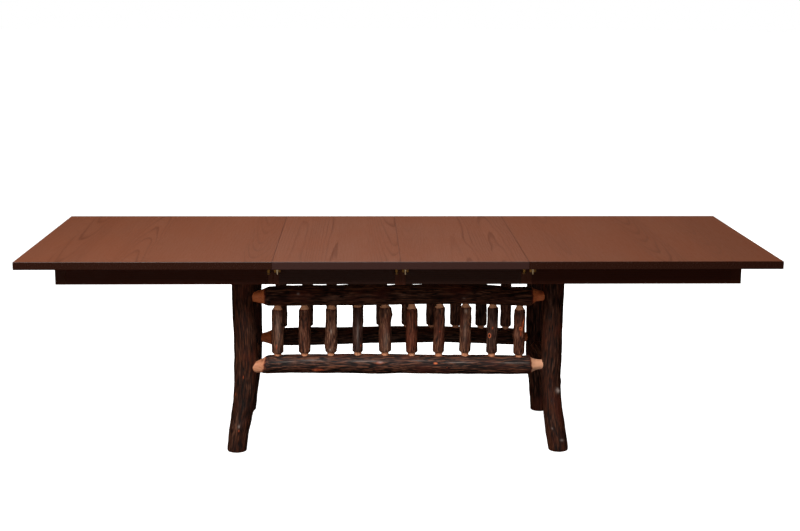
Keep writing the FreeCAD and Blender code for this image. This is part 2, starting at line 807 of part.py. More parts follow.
def keeper(name, seam, side):
    middle = f"{seam} + keeper_offset"
    y = f"{side} * {latch_line}"
    x_faces = (f"{middle} - keeper_length / 2", f"{middle} + keeper_length / 2")
    y_faces = (f"{y} - keeper_width / 2", f"{y} + keeper_width / 2")
    plate = board(name + "_plate", x_faces, y_faces, (underside, f"{underside} - keeper_thickness"))
    tongue = new_body(name + "_tongue")
    outline = [
        ("-keeper_tongue_width / 2", "0"),
        ("-keeper_tongue_tip / 2", "-keeper_tongue_drop"),
        ("keeper_tongue_tip / 2", "-keeper_tongue_drop"),
        ("keeper_tongue_width / 2", "0"),
    ]
    wedge = polygon(tongue, "XZ_Plane", name + "_tongue_outline", outline)
    pad(tongue, wedge, "keeper_tongue_thickness", centered=True)
    place(tongue, middle, y, underside)
    bores = []
    for post in (-1, 1):
        x = f"{middle} + {post} * keeper_post_spacing / 2"
        z = f"{underside} - keeper_thickness"
        bores.append(rod(f"{name}_bore_{post + 2}", "wood_screw_diameter", "keeper_thickness", x, y, z))
    return cut(name, fuse(name + "_blank", [plate, tongue]), bores)


pivot_outline = [
    ("0", "wood_screw_depth"),
    ("wood_screw_diameter / 2", "wood_screw_depth"),
    ("wood_screw_diameter / 2", "0"),
    ("pivot_shoulder_diameter / 2", "0"),
    ("pivot_shoulder_diameter / 2", "-hook_drop + pivot_play"),
    ("pivot_journal_diameter / 2", "-hook_drop + pivot_play"),
    ("pivot_journal_diameter / 2", "-hook_drop - hook_thickness - pivot_play"),
    ("pivot_head_diameter / 2", "-hook_drop - hook_thickness - pivot_play"),
    ("pivot_head_diameter / 2", "-hook_drop - hook_thickness - pivot_play - pivot_head_height"),
    ("0", "-hook_drop - hook_thickness - pivot_play - pivot_head_height"),
]
post_outline = [
    ("0", "wood_screw_depth"),
    ("wood_screw_diameter / 2", "wood_screw_depth"),
    ("wood_screw_diameter / 2", "-keeper_thickness"),
    ("keeper_post_diameter / 2", "-keeper_thickness"),
    ("keeper_post_diameter / 2", "-keeper_post_drop + keeper_post_bevel"),
    ("keeper_post_diameter / 2 - keeper_post_bevel", "-keeper_post_drop"),
    ("0", "-keeper_post_drop"),
]
latch_screws = {section: [] for section in sections}
keepers = {section: [] for section in sections}
for number, (holder, receiver, seam) in enumerate(seams, 1):
    for side_name, side in sides.items():
        hook(number, seam, side_name, side)
        y = f"{side} * {latch_line}"
        pivot_x = f"{seam} - latch_pivot_offset"
        pivot = turned_pin(f"{side_name}_pivot_{number}", pivot_outline, pivot_x, y, underside)
        latch_screws[holder].append(pivot)
        keepers[receiver].append(keeper(f"{side_name}_keeper_{number}", seam, side))
        for post in (-1, 1):
            x = f"{seam} + keeper_offset + {post} * keeper_post_spacing / 2"
            name = f"{side_name}_post_{number}_{post + 2}"
            latch_screws[receiver].append(turned_pin(name, post_outline, x, y, underside))
for section in sections:
    node(f"{section}_latch_screws", group(f"{section}_screw_set", latch_screws[section]))
    if keepers[section]:
        node(f"{section}_keepers", group(f"{section}_keeper_pair", keepers[section]))


doc.recompute()
for thing in doc.Objects:
    if "Invalid" in thing.State or "Error" in thing.State:
        raise ValueError(f"{thing.Label} did not build: {thing.State}")
for label, thing in nodes.items():
    if thing.Shape.isNull() or not thing.Shape.isValid():
        raise ValueError(f"{label} has no valid shape")

os.makedirs("parts", exist_ok=True)
for label, thing in nodes.items():
    thing.Shape.exportStep(f"parts/{label}.step")
print(f"{len(nodes)} nodes, {sum(len(thing.Shape.Solids) for thing in nodes.values())} solids")
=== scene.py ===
import json
import math
import random

import bmesh
import bpy
from mathutils import Matrix, Vector, noise


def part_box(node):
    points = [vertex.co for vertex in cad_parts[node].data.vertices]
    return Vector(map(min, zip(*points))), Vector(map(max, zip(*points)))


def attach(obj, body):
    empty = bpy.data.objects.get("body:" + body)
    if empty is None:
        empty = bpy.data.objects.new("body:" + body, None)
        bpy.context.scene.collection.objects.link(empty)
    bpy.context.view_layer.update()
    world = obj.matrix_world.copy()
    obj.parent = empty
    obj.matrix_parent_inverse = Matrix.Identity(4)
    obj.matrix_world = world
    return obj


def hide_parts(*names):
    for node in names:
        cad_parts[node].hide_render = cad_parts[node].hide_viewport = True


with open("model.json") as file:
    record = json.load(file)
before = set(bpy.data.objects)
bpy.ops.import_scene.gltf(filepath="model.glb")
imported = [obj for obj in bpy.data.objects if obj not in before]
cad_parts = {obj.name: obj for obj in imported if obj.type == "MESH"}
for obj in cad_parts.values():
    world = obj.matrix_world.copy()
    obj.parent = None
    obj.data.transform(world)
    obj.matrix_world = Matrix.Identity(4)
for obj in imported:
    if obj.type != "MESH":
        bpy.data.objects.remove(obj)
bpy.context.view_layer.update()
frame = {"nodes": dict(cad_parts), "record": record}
cadNodes = frame["nodes"]
print("frame loaded:", len(cadNodes), "nodes")

front, up, right = Vector((0, -1, 0)), Vector((0, 0, 1)), Vector((1, 0, 0))
sides = {"front": -1, "rear": 1}
hands = {"left": -1, "right": 1}


# Shader helpers

def tone(red, green, blue):
    # 0 to 255 as seen on a screen, made linear
    values = []
    for value in (red, green, blue):
        value /= 255
        values.append(value / 12.92 if value <= 0.04045 else ((value + 0.055) / 1.055) ** 2.4)
    return (*values, 1)


def addNode(tree, kind, inputs=None, **settings):
    made = tree.nodes.new("ShaderNode" + kind)
    for name, value in settings.items():
        setattr(made, name, value)
    for name, value in (inputs or {}).items():
        if isinstance(value, bpy.types.NodeSocket):
            tree.links.new(value, made.inputs[name])
        else:
            made.inputs[name].default_value = value
    return made


def calc(tree, operation, first, second=0.0, clamp=False):
    return addNode(tree, "Math", {0: first, 1: second}, operation=operation, use_clamp=clamp).outputs[0]


def plus(tree, first, second, clamp=False):
    return calc(tree, "ADD", first, second, clamp)


def minus(tree, first, second):
    return calc(tree, "SUBTRACT", first, second)


def times(tree, first, second):
    return calc(tree, "MULTIPLY", first, second)


def spread(tree, value, low, high, newLow=0.0, newHigh=1.0):
    inputs = {"Value": value, "From Min": low, "From Max": high, "To Min": newLow, "To Max": newHigh}
    return addNode(tree, "MapRange", inputs, interpolation_type="SMOOTHSTEP").outputs[0]


def blendTones(tree, share, first, second):
    return addNode(tree, "Mix", {0: share, 6: first, 7: second}, data_type="RGBA").outputs[2]


def cloud(tree, place, size, detail=3.0, roughness=0.5, twist=0.0):
    inputs = {"Vector": place, "Scale": 1 / size, "Detail": detail, "Roughness": roughness, "Distortion": twist}
    return addNode(tree, "TexNoise", inputs).outputs["Fac"]


def stretched(tree, place, stretch):
    return addNode(tree, "Mapping", {"Vector": place, "Scale": stretch}).outputs[0]


def newMaterial(name):
    material = bpy.data.materials.new(name)
    material.use_nodes = True
    tree = material.node_tree
    return material, tree, tree.nodes["Principled BSDF"]


def setBump(tree, shader, height, distance, strength):
    inputs = {"Height": height, "Distance": distance, "Strength": strength}
    tree.links.new(addNode(tree, "Bump", inputs).outputs[0], shader.inputs["Normal"])


# Stained oak, glued up from boards, with its rings cut through in three dimensions

grainTurn = {"Y": (0, 0, 0), "X": (0, 0, math.pi / 2), "Z": (math.pi / 2, 0, 0)}


def oak(name, look):
    material, tree, shader = newMaterial(name)
    place = addNode(tree, "TexCoord").outputs["Object"]
    turned = addNode(tree, "Mapping", {"Vector": place, "Rotation": grainTurn[look["along"]]}).outputs[0]
    axes = addNode(tree, "SeparateXYZ", {0: turned}).outputs
    boardPlace = plus(tree, calc(tree, "DIVIDE", axes[0], look["board"]), look["boardShift"])
    number = calc(tree, "FLOOR", boardPlace)
    chance = addNode(tree, "TexWhiteNoise", {"W": number}, noise_dimensions="1D").outputs["Color"]
    chances = addNode(tree, "SeparateColor", {0: chance}).outputs
    inBoard = minus(tree, calc(tree, "FRACT", boardPlace), 0.5)

    # Each board comes from its own place in the log, a little out of line with the heart
    warp = cloud(tree, stretched(tree, turned, (1, 0.16, 1)), look["warpSize"], 2.0)
    warp = times(tree, minus(tree, warp, 0.5), look["warp"])
    across = times(tree, inBoard, look["board"])
    aside = times(tree, minus(tree, chances[0], 0.5), look["board"])
    across = plus(tree, plus(tree, across, aside), warp)
    lean = times(tree, minus(tree, chances[1], 0.5), look["lean"])
    deep = plus(tree, times(tree, axes[1], lean), times(tree, chances[2], look["deep"]))
    deep = plus(tree, plus(tree, deep, axes[2]), look["heart"])
    deep = plus(tree, deep, warp)
    reach = calc(tree, "SQRT", plus(tree, calc(tree, "POWER", across, 2.0), calc(tree, "POWER", deep, 2.0)))
    year = calc(tree, "FRACT", calc(tree, "DIVIDE", reach, look["ring"]))
    lateFrom, lateTo = look["lateWood"]
    late = times(tree, spread(tree, year, lateFrom, lateTo), spread(tree, year, 1.0, lateTo))
    figure = plus(tree, spread(tree, chances[2], 0.35, 0.9), 0.25)
    swell = cloud(tree, stretched(tree, turned, (1, 0.1, 1)), look["swellSize"], 2.0)

    # Open pores lie in the early wood as short dark ticks, and fibres run between them
    pores = cloud(tree, stretched(tree, turned, (1, 0.045, 1)), look["poreSize"], 2.0, 0.6)
    pores = times(tree, spread(tree, pores, 0.58, 0.72), minus(tree, 1.0, late))
    fibres = cloud(tree, stretched(tree, turned, (1, 0.03, 1)), look["fibreSize"], 4.0, 0.65)
    blotch = cloud(tree, stretched(tree, turned, (1, 0.35, 1)), look["blotchSize"], 3.0, 0.55)

    shade = times(tree, times(tree, late, figure), look["ringDepth"])
    shade = plus(tree, shade, times(tree, pores, look["poreDepth"]))
    shade = plus(tree, shade, times(tree, fibres, look["fibreDepth"]))
    shade = plus(tree, shade, times(tree, swell, look["swellDepth"]), True)
    colour = blendTones(tree, shade, look["light"], look["dark"])
    colour = blendTones(tree, spread(tree, blotch, 0.35, 0.7, 0.0, look["blotch"]), colour, look["warm"])
    level = plus(tree, times(tree, chances[1], look["boardChange"]), 1 - look["boardChange"] / 2)
    colour = addNode(tree, "HueSaturation", {"Color": colour, "Value": level}).outputs[0]
    joint = calc(tree, "ABSOLUTE", inBoard)
    joint = spread(tree, joint, 0.5 - look["jointWidth"] / look["board"], 0.5, 0.0, look["jointDepth"])
    colour = blendTones(tree, joint, colour, look["dark"])

    # Painted shade darkens the seams between the sections
    alongTable = addNode(tree, "SeparateXYZ", {0: place}).outputs[0]
    for seam, depth in look["seams"]:
        gap = calc(tree, "ABSOLUTE", minus(tree, alongTable, seam))
        colour = blendTones(tree, spread(tree, gap, *look["seamShade"], 0.0, depth), colour, look["end"])

    # End grain drinks more stain, and eased edges are painted a little lighter: partly wear, partly a painted
    # highlight where the rounded edge catches the light
    facing = addNode(tree, "SeparateXYZ", {0: addNode(tree, "NewGeometry").outputs["Normal"]}).outputs
    alongFace = calc(tree, "ABSOLUTE", facing["XYZ".index(look["along"])])
    endGrain = spread(tree, alongFace, look["endFrom"], look["endFrom"] + 0.3)
    colour = blendTones(tree, times(tree, endGrain, look["endStain"]), colour, look["end"])
    rim = minus(tree, times(tree, calc(tree, "ABSOLUTE", facing[2]), 2.0), 1.0)
    rim = minus(tree, 1.0, calc(tree, "ABSOLUTE", rim))
    wearAndSheen = times(tree, spread(tree, rim, 0.25, 0.8), spread(tree, blotch, 0.3, 0.6, 0.3, 1.0))
    colour = blendTones(tree, times(tree, wearAndSheen, look["edgeWearAndSheen"]), colour, look["light"])
    tree.links.new(colour, shader.inputs["Base Color"])
    rough = plus(tree, times(tree, fibres, 0.16), look["roughness"] - 0.08)
    rough = plus(tree, rough, times(tree, pores, 0.12))
    rough = minus(tree, rough, times(tree, endGrain, look["endPolish"]))
    tree.links.new(rough, shader.inputs["Roughness"])
    height = plus(tree, times(tree, pores, -1.0), times(tree, late, 0.25))
    height = plus(tree, height, times(tree, fibres, 0.3))
    setBump(tree, shader, height, look["bumpDepth"], look["bump"])
    return material


oakLook = {
    "along": "Y", "board": 0.1143, "boardShift": 0.0, "warpSize": 0.12, "warp": 0.018, "lean": 0.09, "deep": 0.05,
    "heart": -0.73, "ring": 0.0066, "lateWood": (0.62, 0.94), "ringDepth": 0.5, "poreDepth": 0.3,
    "fibreDepth": 0.22, "swellDepth": 0.22, "poreSize": 0.0016, "fibreSize": 0.005, "swellSize": 0.09,
    "light": tone(130, 77, 54), "dark": tone(96, 52, 34), "warm": tone(124, 67, 42), "end": tone(54, 30, 25),
    "blotch": 0.4, "blotchSize": 0.16, "boardChange": 0.05, "jointWidth": 0.001, "jointDepth": 0.25,
    "endStain": 0.94, "endFrom": 0.55, "endPolish": 0.0, "edgeWearAndSheen": 0.2, "roughness": 0.4, "bump": 0.3,
    "bumpDepth": 0.0004, "seams": (), "seamShade": (0.0016, 0.0005),
}
skirtTones = {"light": tone(69, 27, 10), "dark": tone(30, 11, 4), "warm": tone(63, 23, 8),
              "end": tone(40, 20, 12)}
leafTones = {"light": tone(67, 38, 28), "dark": tone(29, 16, 11), "warm": tone(57, 31, 22),
             "end": tone(40, 20, 12)}
cornerTones = {"light": tone(70, 30, 12), "dark": tone(34, 14, 6), "warm": tone(60, 24, 9),
               "end": tone(44, 22, 14)}
blockTones = {"light": tone(86, 42, 24), "dark": tone(44, 19, 9), "warm": tone(73, 32, 16),
              "end": tone(50, 26, 17)}
palePlank = {"light": tone(196, 160, 116), "dark": tone(150, 112, 74), "warm": tone(182, 138, 92),
             "end": tone(140, 104, 68)}

tableSeams = ((-0.4572, 0.85), (0, 0.65), (0.4572, 0.85))  # place along the table, depth of the painted shade in its seam
panelLook = {**oakLook, "seams": tableSeams, "endFrom": 0.05, "edgeWearAndSheen": 0.0}
topOak = oak("topOak", {**panelLook, "end": tone(40, 18, 12), "endPolish": 0.14})
leafTopOak = oak("leafTopOak", {**panelLook, "end": tone(55, 32, 29), "light": tone(132, 80, 58)})

# Skirts, blocks, slides and bolsters are single boards, without glued joints
singleBoard = {**oakLook, "jointDepth": 0}
skirtLook = {**singleBoard, "along": "X", "board": 0.2, "heart": 0.45}
blockLook = {**singleBoard, "along": "Z", "board": 0.3, "heart": 0.4}
leafSkirtOak = oak("leafSkirtOak", {**skirtLook, **leafTones})
skirtOak = oak("skirtOak", {**skirtLook, **skirtTones})
endSkirtOak = oak("endSkirtOak", {**singleBoard, **skirtTones, "board": 0.2, "heart": -0.8})
cornerOak = oak("cornerOak", {**blockLook, **cornerTones})
blockOak = oak("blockOak", {**blockLook, **blockTones})
slideWood = oak("slideWood", {**singleBoard, **palePlank, "along": "X", "board": 0.3, "heart": 0.2,
                              "roughness": 0.38})
bolsterWood = oak("bolsterWood", {**singleBoard, **palePlank, "board": 0.3, "heart": -0.72})


# Hickory: bark under a clear finish, with scars down to the red inner bark and ends peeled to the tan wood

def hickory(name, look):
    material, tree, shader = newMaterial(name)
    place = addNode(tree, "TexCoord").outputs["Object"]
    marks = {mark: addNode(tree, "Attribute", attribute_name=mark).outputs["Fac"] for mark in logMarks}
    squeeze = tuple(look["stretch"] if axis == look["along"] else 1 for axis in "XYZ")
    drawn = stretched(tree, place, squeeze)
    streaks = cloud(tree, drawn, look["streak"], 5.0, 0.62, 0.4)
    flakes = cloud(tree, drawn, look["flake"], 3.0, 0.6, 0.8)
    patches = cloud(tree, stretched(tree, place, tuple(0.5 + part / 2 for part in squeeze)),
                    look["patch"], 3.0, 0.6)
    specks = cloud(tree, place, look["speck"], 2.0, 0.7)

    wearAndSheen = plus(tree, times(tree, marks["ridge"], 0.55), times(tree, streaks, 0.6))
    wearAndSheen = plus(tree, wearAndSheen, times(tree, minus(tree, flakes, 0.5), 0.4))
    colour = blendTones(tree, spread(tree, wearAndSheen, look["deep"], look["mid"]), look["crevice"], look["bark"])
    colour = blendTones(tree, spread(tree, wearAndSheen, look["mid"], look["high"]), colour, look["crest"])
    reddish = times(tree, spread(tree, patches, 0.5, 0.72), look["redness"])
    colour = blendTones(tree, reddish, colour, look["red"])
    # Grey on the crests: partly weathered bark, partly a painted sheen of the clear finish
    greyAndSheen = times(tree, spread(tree, patches, 0.5, 0.34), spread(tree, wearAndSheen, 0.6, 0.9))
    colour = blendTones(tree, times(tree, greyAndSheen, look["greyAndSheen"]), colour, look["grey"])
    colour = blendTones(tree, spread(tree, specks, 0.6, 0.74, 0.0, 0.4), colour, look["crevice"])

    ragged = plus(tree, marks["scar"], times(tree, minus(tree, streaks, 0.5), 0.9))
    scarTone = blendTones(tree, flakes, look["scarDark"], look["scarLight"])
    colour = blendTones(tree, spread(tree, ragged, 0.38, 0.62), colour, scarTone)
    ring = times(tree, spread(tree, marks["knot"], 0.25, 0.45), 0.9)
    colour = blendTones(tree, ring, colour, look["knotRing"])
    colour = blendTones(tree, spread(tree, marks["knot"], 0.62, 0.8), colour, look["crevice"])
    # Pale marks: partly pale spots in the bark, partly painted highlights and glints of the finish
    paleAndGlintShare = times(tree, marks["paleAndGlint"], spread(tree, streaks, 0.3, 0.62, 0.35, 1.0))
    colour = blendTones(tree, paleAndGlintShare, colour, look["paleAndGlint"])
    colour = blendTones(tree, spread(tree, marks["bare"], 0.2, 0.6), colour, look["bare"])

    # Peeled wood: fibres along the log, and the marks that the knife left across it
    alongFibres = stretched(tree, place, tuple(0.07 if part < 1 else 1 for part in squeeze))
    fibre = cloud(tree, alongFibres, look["fibre"], 4.0, 0.6)
    acrossFibres = stretched(tree, place, tuple(1 if part < 1 else 0.12 for part in squeeze))
    chatter = cloud(tree, acrossFibres, look["chatter"], 2.0)
    peeled = blendTones(tree, spread(tree, fibre, 0.3, 0.75), look["woodLight"], look["woodDark"])
    peeled = blendTones(tree, spread(tree, patches, 0.4, 0.7, 0.0, 0.45), peeled, look["woodWarm"])
    peeled = blendTones(tree, spread(tree, flakes, 0.52, 0.7, 0.0, 0.5), peeled, look["scarDark"])
    # Painted light: beyond a place along one axis the peeled wood is lightened, for ends that lie in shade
    axis, paintedLightFrom, paintedLightTo = look["paintedLightAlong"]
    reach = addNode(tree, "SeparateXYZ", {0: place}).outputs[axis]
    isPaintedLight = spread(tree, reach, paintedLightFrom, paintedLightTo, 0.0, look["paintedLight"])
    peeled = blendTones(tree, isPaintedLight, peeled, look["woodPaintedLight"])
    isPeeled = spread(tree, marks["peel"], 0.35, 0.65)
    colour = blendTones(tree, isPeeled, colour, peeled)
    # The rim attribute holds the red inner bark at each bark edge, and painted shade from rim marks on some cones
    rimmed = times(tree, marks["rim"], spread(tree, streaks, 0.3, 0.6, 0.45, 0.95))
    colour = blendTones(tree, rimmed, colour, look["rim"])
    tree.links.new(colour, shader.inputs["Base Color"])

    rough = spread(tree, wearAndSheen, 0.3, 0.9, look["roughness"] + 0.2, look["roughness"])
    tree.links.new(rough, shader.inputs["Roughness"])
    shader.inputs["Coat Weight"].default_value = look["coat"]
    shader.inputs["Coat Roughness"].default_value = look["coatRoughness"]
    relief = plus(tree, streaks, times(tree, flakes, 1.2))
    smooth = plus(tree, times(tree, fibre, 0.25), times(tree, chatter, 0.25))
    height = addNode(tree, "Mix", {0: isPeeled, 2: relief, 3: smooth}, data_type="FLOAT").outputs[0]
    setBump(tree, shader, height, look["bumpDepth"], look["bump"])
    return material


logMarks = ("ridge", "peel", "scar", "knot", "rim", "paleAndGlint", "bare")
hickoryLook = {
    "along": "Z", "stretch": 0.075, "streak": 0.0032, "flake": 0.012, "patch": 0.07, "speck": 0.004,
    "crevice": tone(18, 7, 3), "bark": tone(58, 27, 15), "crest": tone(99, 56, 35), "deep": 0.34, "mid": 0.67,
    "high": 0.92, "red": tone(94, 36, 18), "redness": 0.5, "grey": tone(122, 95, 80), "greyAndSheen": 0.28,
    "scarDark": tone(116, 38, 16), "scarLight": tone(196, 92, 48), "paleAndGlint": tone(196, 178, 168),
    "bare": tone(240, 128, 74), "knotRing": tone(232, 122, 78), "rim": tone(118, 44, 22),
    "woodLight": tone(250, 184, 142), "woodDark": tone(216, 134, 92), "woodWarm": tone(230, 140, 94),
    "fibre": 0.0022, "chatter": 0.002, "roughness": 0.42, "coat": 0.08, "coatRoughness": 0.16, "bump": 0.9,
    "bumpDepth": 0.0016,
    # Painted light on the peeled wood, lightening peeled ends that lie in shade: its share, and the axis and
    # stretch over which it begins
    "paintedLight": 0.0, "paintedLightAlong": (2, 0.46, 0.52), "woodPaintedLight": tone(255, 182, 136),
}
legBark = hickory("legBark", hickoryLook)
railLook = {**hickoryLook, "along": "X", "bark": tone(71, 35, 20), "crest": tone(124, 76, 50), "deep": 0.38,
            "mid": 0.64, "high": 0.88}
# Painted light lightens the peeled wood at this rail's right end, which lies in shade
railBark = hickory("railBark", {
    **railLook, "bark": tone(56, 26, 15), "crest": tone(120, 70, 46), "deep": 0.47, "mid": 0.66, "high": 0.84,
    "coat": 0.02, "coatRoughness": 0.12, "roughness": 0.56, "streak": 0.0026, "flake": 0.009,
    "woodLight": tone(234, 168, 128), "woodDark": tone(206, 126, 86), "woodPaintedLight": tone(250, 184, 144),
    "paintedLight": 0.9, "paintedLightAlong": (0, 0.46, 0.52)})
shadedRailBark = hickory("shadedRailBark", {
    **railLook, "bark": tone(59, 28, 16), "crest": tone(105, 63, 41), "woodLight": tone(228, 130, 75),
    "woodDark": tone(192, 86, 43), "woodWarm": tone(186, 83, 41)})
crossBark = hickory("crossBark", {**railLook, "along": "Y"})
# Painted light lightens the peeled heads of the spindles, which lie in shade under the upper rails
spindleLook = {**hickoryLook, "streak": 0.0028, "flake": 0.01, "stretch": 0.07, "greyAndSheen": 0.35, "paintedLight": 0.85}
spindleBarks = {
    "brown": hickory("brownSpindleBark", {
        **spindleLook, "bark": tone(96, 52, 34), "crest": tone(142, 92, 68), "crevice": tone(34, 14, 7)}),
    "grey": hickory("greySpindleBark", {
        **spindleLook, "bark": tone(99, 59, 41), "crest": tone(164, 115, 87), "crevice": tone(38, 18, 11),
        "paleAndGlint": tone(188, 160, 142)}),
    "red": hickory("redSpindleBark", {
        **spindleLook, "bark": tone(104, 50, 30), "crest": tone(136, 80, 56), "crevice": tone(40, 14, 6),
        "redness": 0.9, "greyAndSheen": 0.1}),
    "dark": hickory("darkSpindleBark", {
        **spindleLook, "bark": tone(72, 42, 32), "crest": tone(112, 80, 66), "crevice": tone(24, 10, 6)}),
}


# Metal fittings

def metal(name, look):
    material, tree, shader = newMaterial(name)
    place = addNode(tree, "TexCoord").outputs["Object"]
    scratches = cloud(tree, stretched(tree, place, (0.12, 1, 1)), look["grain"], 3.0, 0.7)
    grime = cloud(tree, place, 0.02, 4.0, 0.6)
    colour = blendTones(tree, spread(tree, grime, 0.35, 0.75), look["clean"], look["dull"])
    tree.links.new(colour, shader.inputs["Base Color"])
    tree.links.new(spread(tree, scratches, 0.2, 0.8, look["roughness"] - 0.08, look["roughness"] + 0.1),
                   shader.inputs["Roughness"])
    shader.inputs["Metallic"].default_value = look["metallic"]
    setBump(tree, shader, scratches, 0.0001, 0.4)
    return material


zincSteel = metal("zincSteel", {"clean": tone(176, 176, 172), "dull": tone(128, 126, 120), "grain": 0.0012,
                                "roughness": 0.34, "metallic": 1})
blackSteel = metal("blackSteel", {"clean": tone(92, 62, 46), "dull": tone(58, 38, 28), "grain": 0.0015,
                                  "roughness": 0.5, "metallic": 0.25})
# Painted highlight: the keepers' brass is near white and mostly diffuse, standing in for the glint of polished
# brass
brass = metal("brass", {"clean": tone(255, 232, 190), "dull": tone(240, 186, 110), "grain": 0.001,
                        "roughness": 0.26, "metallic": 0.2})
screwBrass = metal("screwBrass", {"clean": tone(206, 150, 74), "dull": tone(140, 96, 48), "grain": 0.001,
                                  "roughness": 0.4, "metallic": 0.4})
print("materials made")


# Every new piece ends here: made a mesh, covered, set on its body and put in place of its solids

def finish(made, name, body, material, replaced, shadeSmooth):
    bmesh.ops.recalc_face_normals(made, faces=made.faces)
    for face in made.faces:
        face.smooth = shadeSmooth
    mesh = bpy.data.meshes.new(name)
    made.to_mesh(mesh)
    made.free()
    piece = bpy.data.objects.new(name, mesh)
    bpy.context.scene.collection.objects.link(piece)
    mesh.materials.append(material)
    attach(piece, body)
    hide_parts(*replaced)


# Boards: copies of the solids with their edges eased, as a plane leaves them

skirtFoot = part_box("left_front_skirt")[0].z
boardBuild = {
    "merge": 0.00002, "flat": math.radians(1), "corner": math.radians(30),
    "outerSeam": 0.1, "seam": 0.0004, "closedSeam": 0.00005,
    # How far an edge is eased, and the shortest edge that is
    "ease": {"skirt": (0.0012, 0.01), "blocks": (0.001, 0.01), "bolster": (0.003, 0.03), "panel": (0.0006, 0.5)},
}


def easedBoard(nodeName, body, material, slot, ease, shortest):
    build = boardBuild
    made = bmesh.new()
    made.from_mesh(cadNodes[nodeName].data)
    bmesh.ops.remove_doubles(made, verts=made.verts, dist=build["merge"])
    bmesh.ops.dissolve_limit(made, angle_limit=build["flat"], verts=made.verts, edges=made.edges)
    for vert in made.verts:
        # The blocks at the two outer seams end level with the skirts
        isOuter = nodeName.endswith("_seam_blocks") and abs(vert.co.x) > build["outerSeam"]
        if isOuter and vert.co.z < skirtFoot:
            vert.co.z = skirtFoot
        for seam, depth in tableSeams:
            # No light comes through a closed seam
            if abs(vert.co.x - seam) < build["seam"]:
                vert.co.x = seam + math.copysign(build["closedSeam"], vert.co.x - seam)
    sharp = [edge for edge in made.edges if edge.is_manifold and edge.calc_length() > shortest
             and edge.calc_face_angle(0) > build["corner"]]
    bmesh.ops.bevel(made, geom=sharp, offset=ease, segments=2, affect="EDGES", profile=0.5, material=-1,
                    clamp_overlap=True)
    bmesh.ops.triangulate(made, faces=made.faces)
    finish(made, nodeName + "_eased", body, material, [nodeName], False)


bodyOf = {node: body for body, members in frame["record"]["behaviour"]["bodies"].items() for node in members}
slotOf = {part["node"]: part["material_slot"] for part in frame["record"]["subparts"]}


def coverNode(nodeName, material):
    for slot in cadNodes[nodeName].material_slots:
        slot.material = material


def boardFinish(nodeName):
    if nodeName.endswith("_panel"):
        return leafTopOak if nodeName.startswith("leaf") else topOak
    if nodeName.endswith("_end_skirt"):
        return endSkirtOak
    if nodeName.startswith("leaf") and nodeName.endswith("_skirt"):
        return leafSkirtOak
    if nodeName.endswith("_corner_blocks"):
        return cornerOak
    if nodeName.endswith("_seam_blocks"):
        return blockOak
    return skirtOak


edgeEase = boardBuild["ease"]
for nodeName in sorted(cadNodes):
    kind = nodeName.rsplit("_", 1)[1]
    if kind == "bolster":
        easedBoard(nodeName, "base", bolsterWood, "slide_wood", *edgeEase[kind])
    elif kind in edgeEase:
        easedBoard(nodeName, bodyOf[nodeName], boardFinish(nodeName), slotOf[nodeName], *edgeEase[kind])
    elif slotOf[nodeName] == "slide_wood":
        coverNode(nodeName, slideWood)
    elif slotOf[nodeName] == "steel":
        coverNode(nodeName, zincSteel)
    elif slotOf[nodeName] == "dark_steel":
        coverNode(nodeName, blackSteel)
    elif slotOf[nodeName] == "brass":
        coverNode(nodeName, brass if "keeper" in nodeName else screwBrass)
print("boards and fittings finished")


# Logs

def easeBetween(start, end, value):
    share = min(1, max(0, (value - start) / (end - start)))
    return share * share * (3 - 2 * share)


def throughStations(stations, at, column, smooth):
    # Straight from station to station, or a smooth curve through them
    last = len(stations) - 1
    i = next((i for i in range(last) if at <= stations[i + 1][0]), last - 1)
    start, end = stations[i], stations[i + 1]
    share = (at - start[0]) / (end[0] - start[0])
    rise = end[column] - start[column]
    if not smooth:
        return start[column] + rise * share
    before, after = stations[max(0, i - 1)], stations[min(last, i + 2)]
    span = end[0] - start[0]
    startSlope = (end[column] - before[column]) / (end[0] - before[0]) * span if i else rise
    endSlope = (after[column] - start[column]) / (after[0] - start[0]) * span if i + 2 <= last else rise
    square, cube = share ** 2, share ** 3
    return ((2 * cube - 3 * square + 1) * start[column] + (cube - 2 * square + share) * startSlope
            + (3 * square - 2 * cube) * end[column] + (cube - square) * endSlope)


def ringPlaces(stations, step):
    places = [stations[0][0]]
    for start, end in zip(stations, stations[1:]):
        count = max(1, math.ceil((end[0] - start[0]) / step))
        places += [start[0] + (end[0] - start[0]) * i / count for i in range(1, count + 1)]
    return places


def barkRelief(place, look):
    # Ridges that weave round each other, parted by furrows
    bend = noise.noise_vector(place * 0.35) * look["weave"]
    furrow = abs(noise.noise(place + bend))
    small = abs(noise.noise(place * 2.2 + bend * 2))
    return easeBetween(0, look["furrow"], furrow) * 0.7 + easeBetween(0, look["furrow"], small) * 0.3


def spot(kind, at, turn, length, width, lift=0, dimple=0, strength=1):
    # A mark on the bark: place along the log, degrees round it, half its length and width in metres
    return {"kind": kind, "at": at, "turn": turn, "length": length, "width": width, "lift": lift,
            "dimple": dimple, "strength": strength}


spotFade = {"reach": 3, "edge": 1.4, "dimple": 9}
slantFrom, slantTo = 0.40, 0.47  # metres from a rail's middle over which the slant of its bark's edge sets in


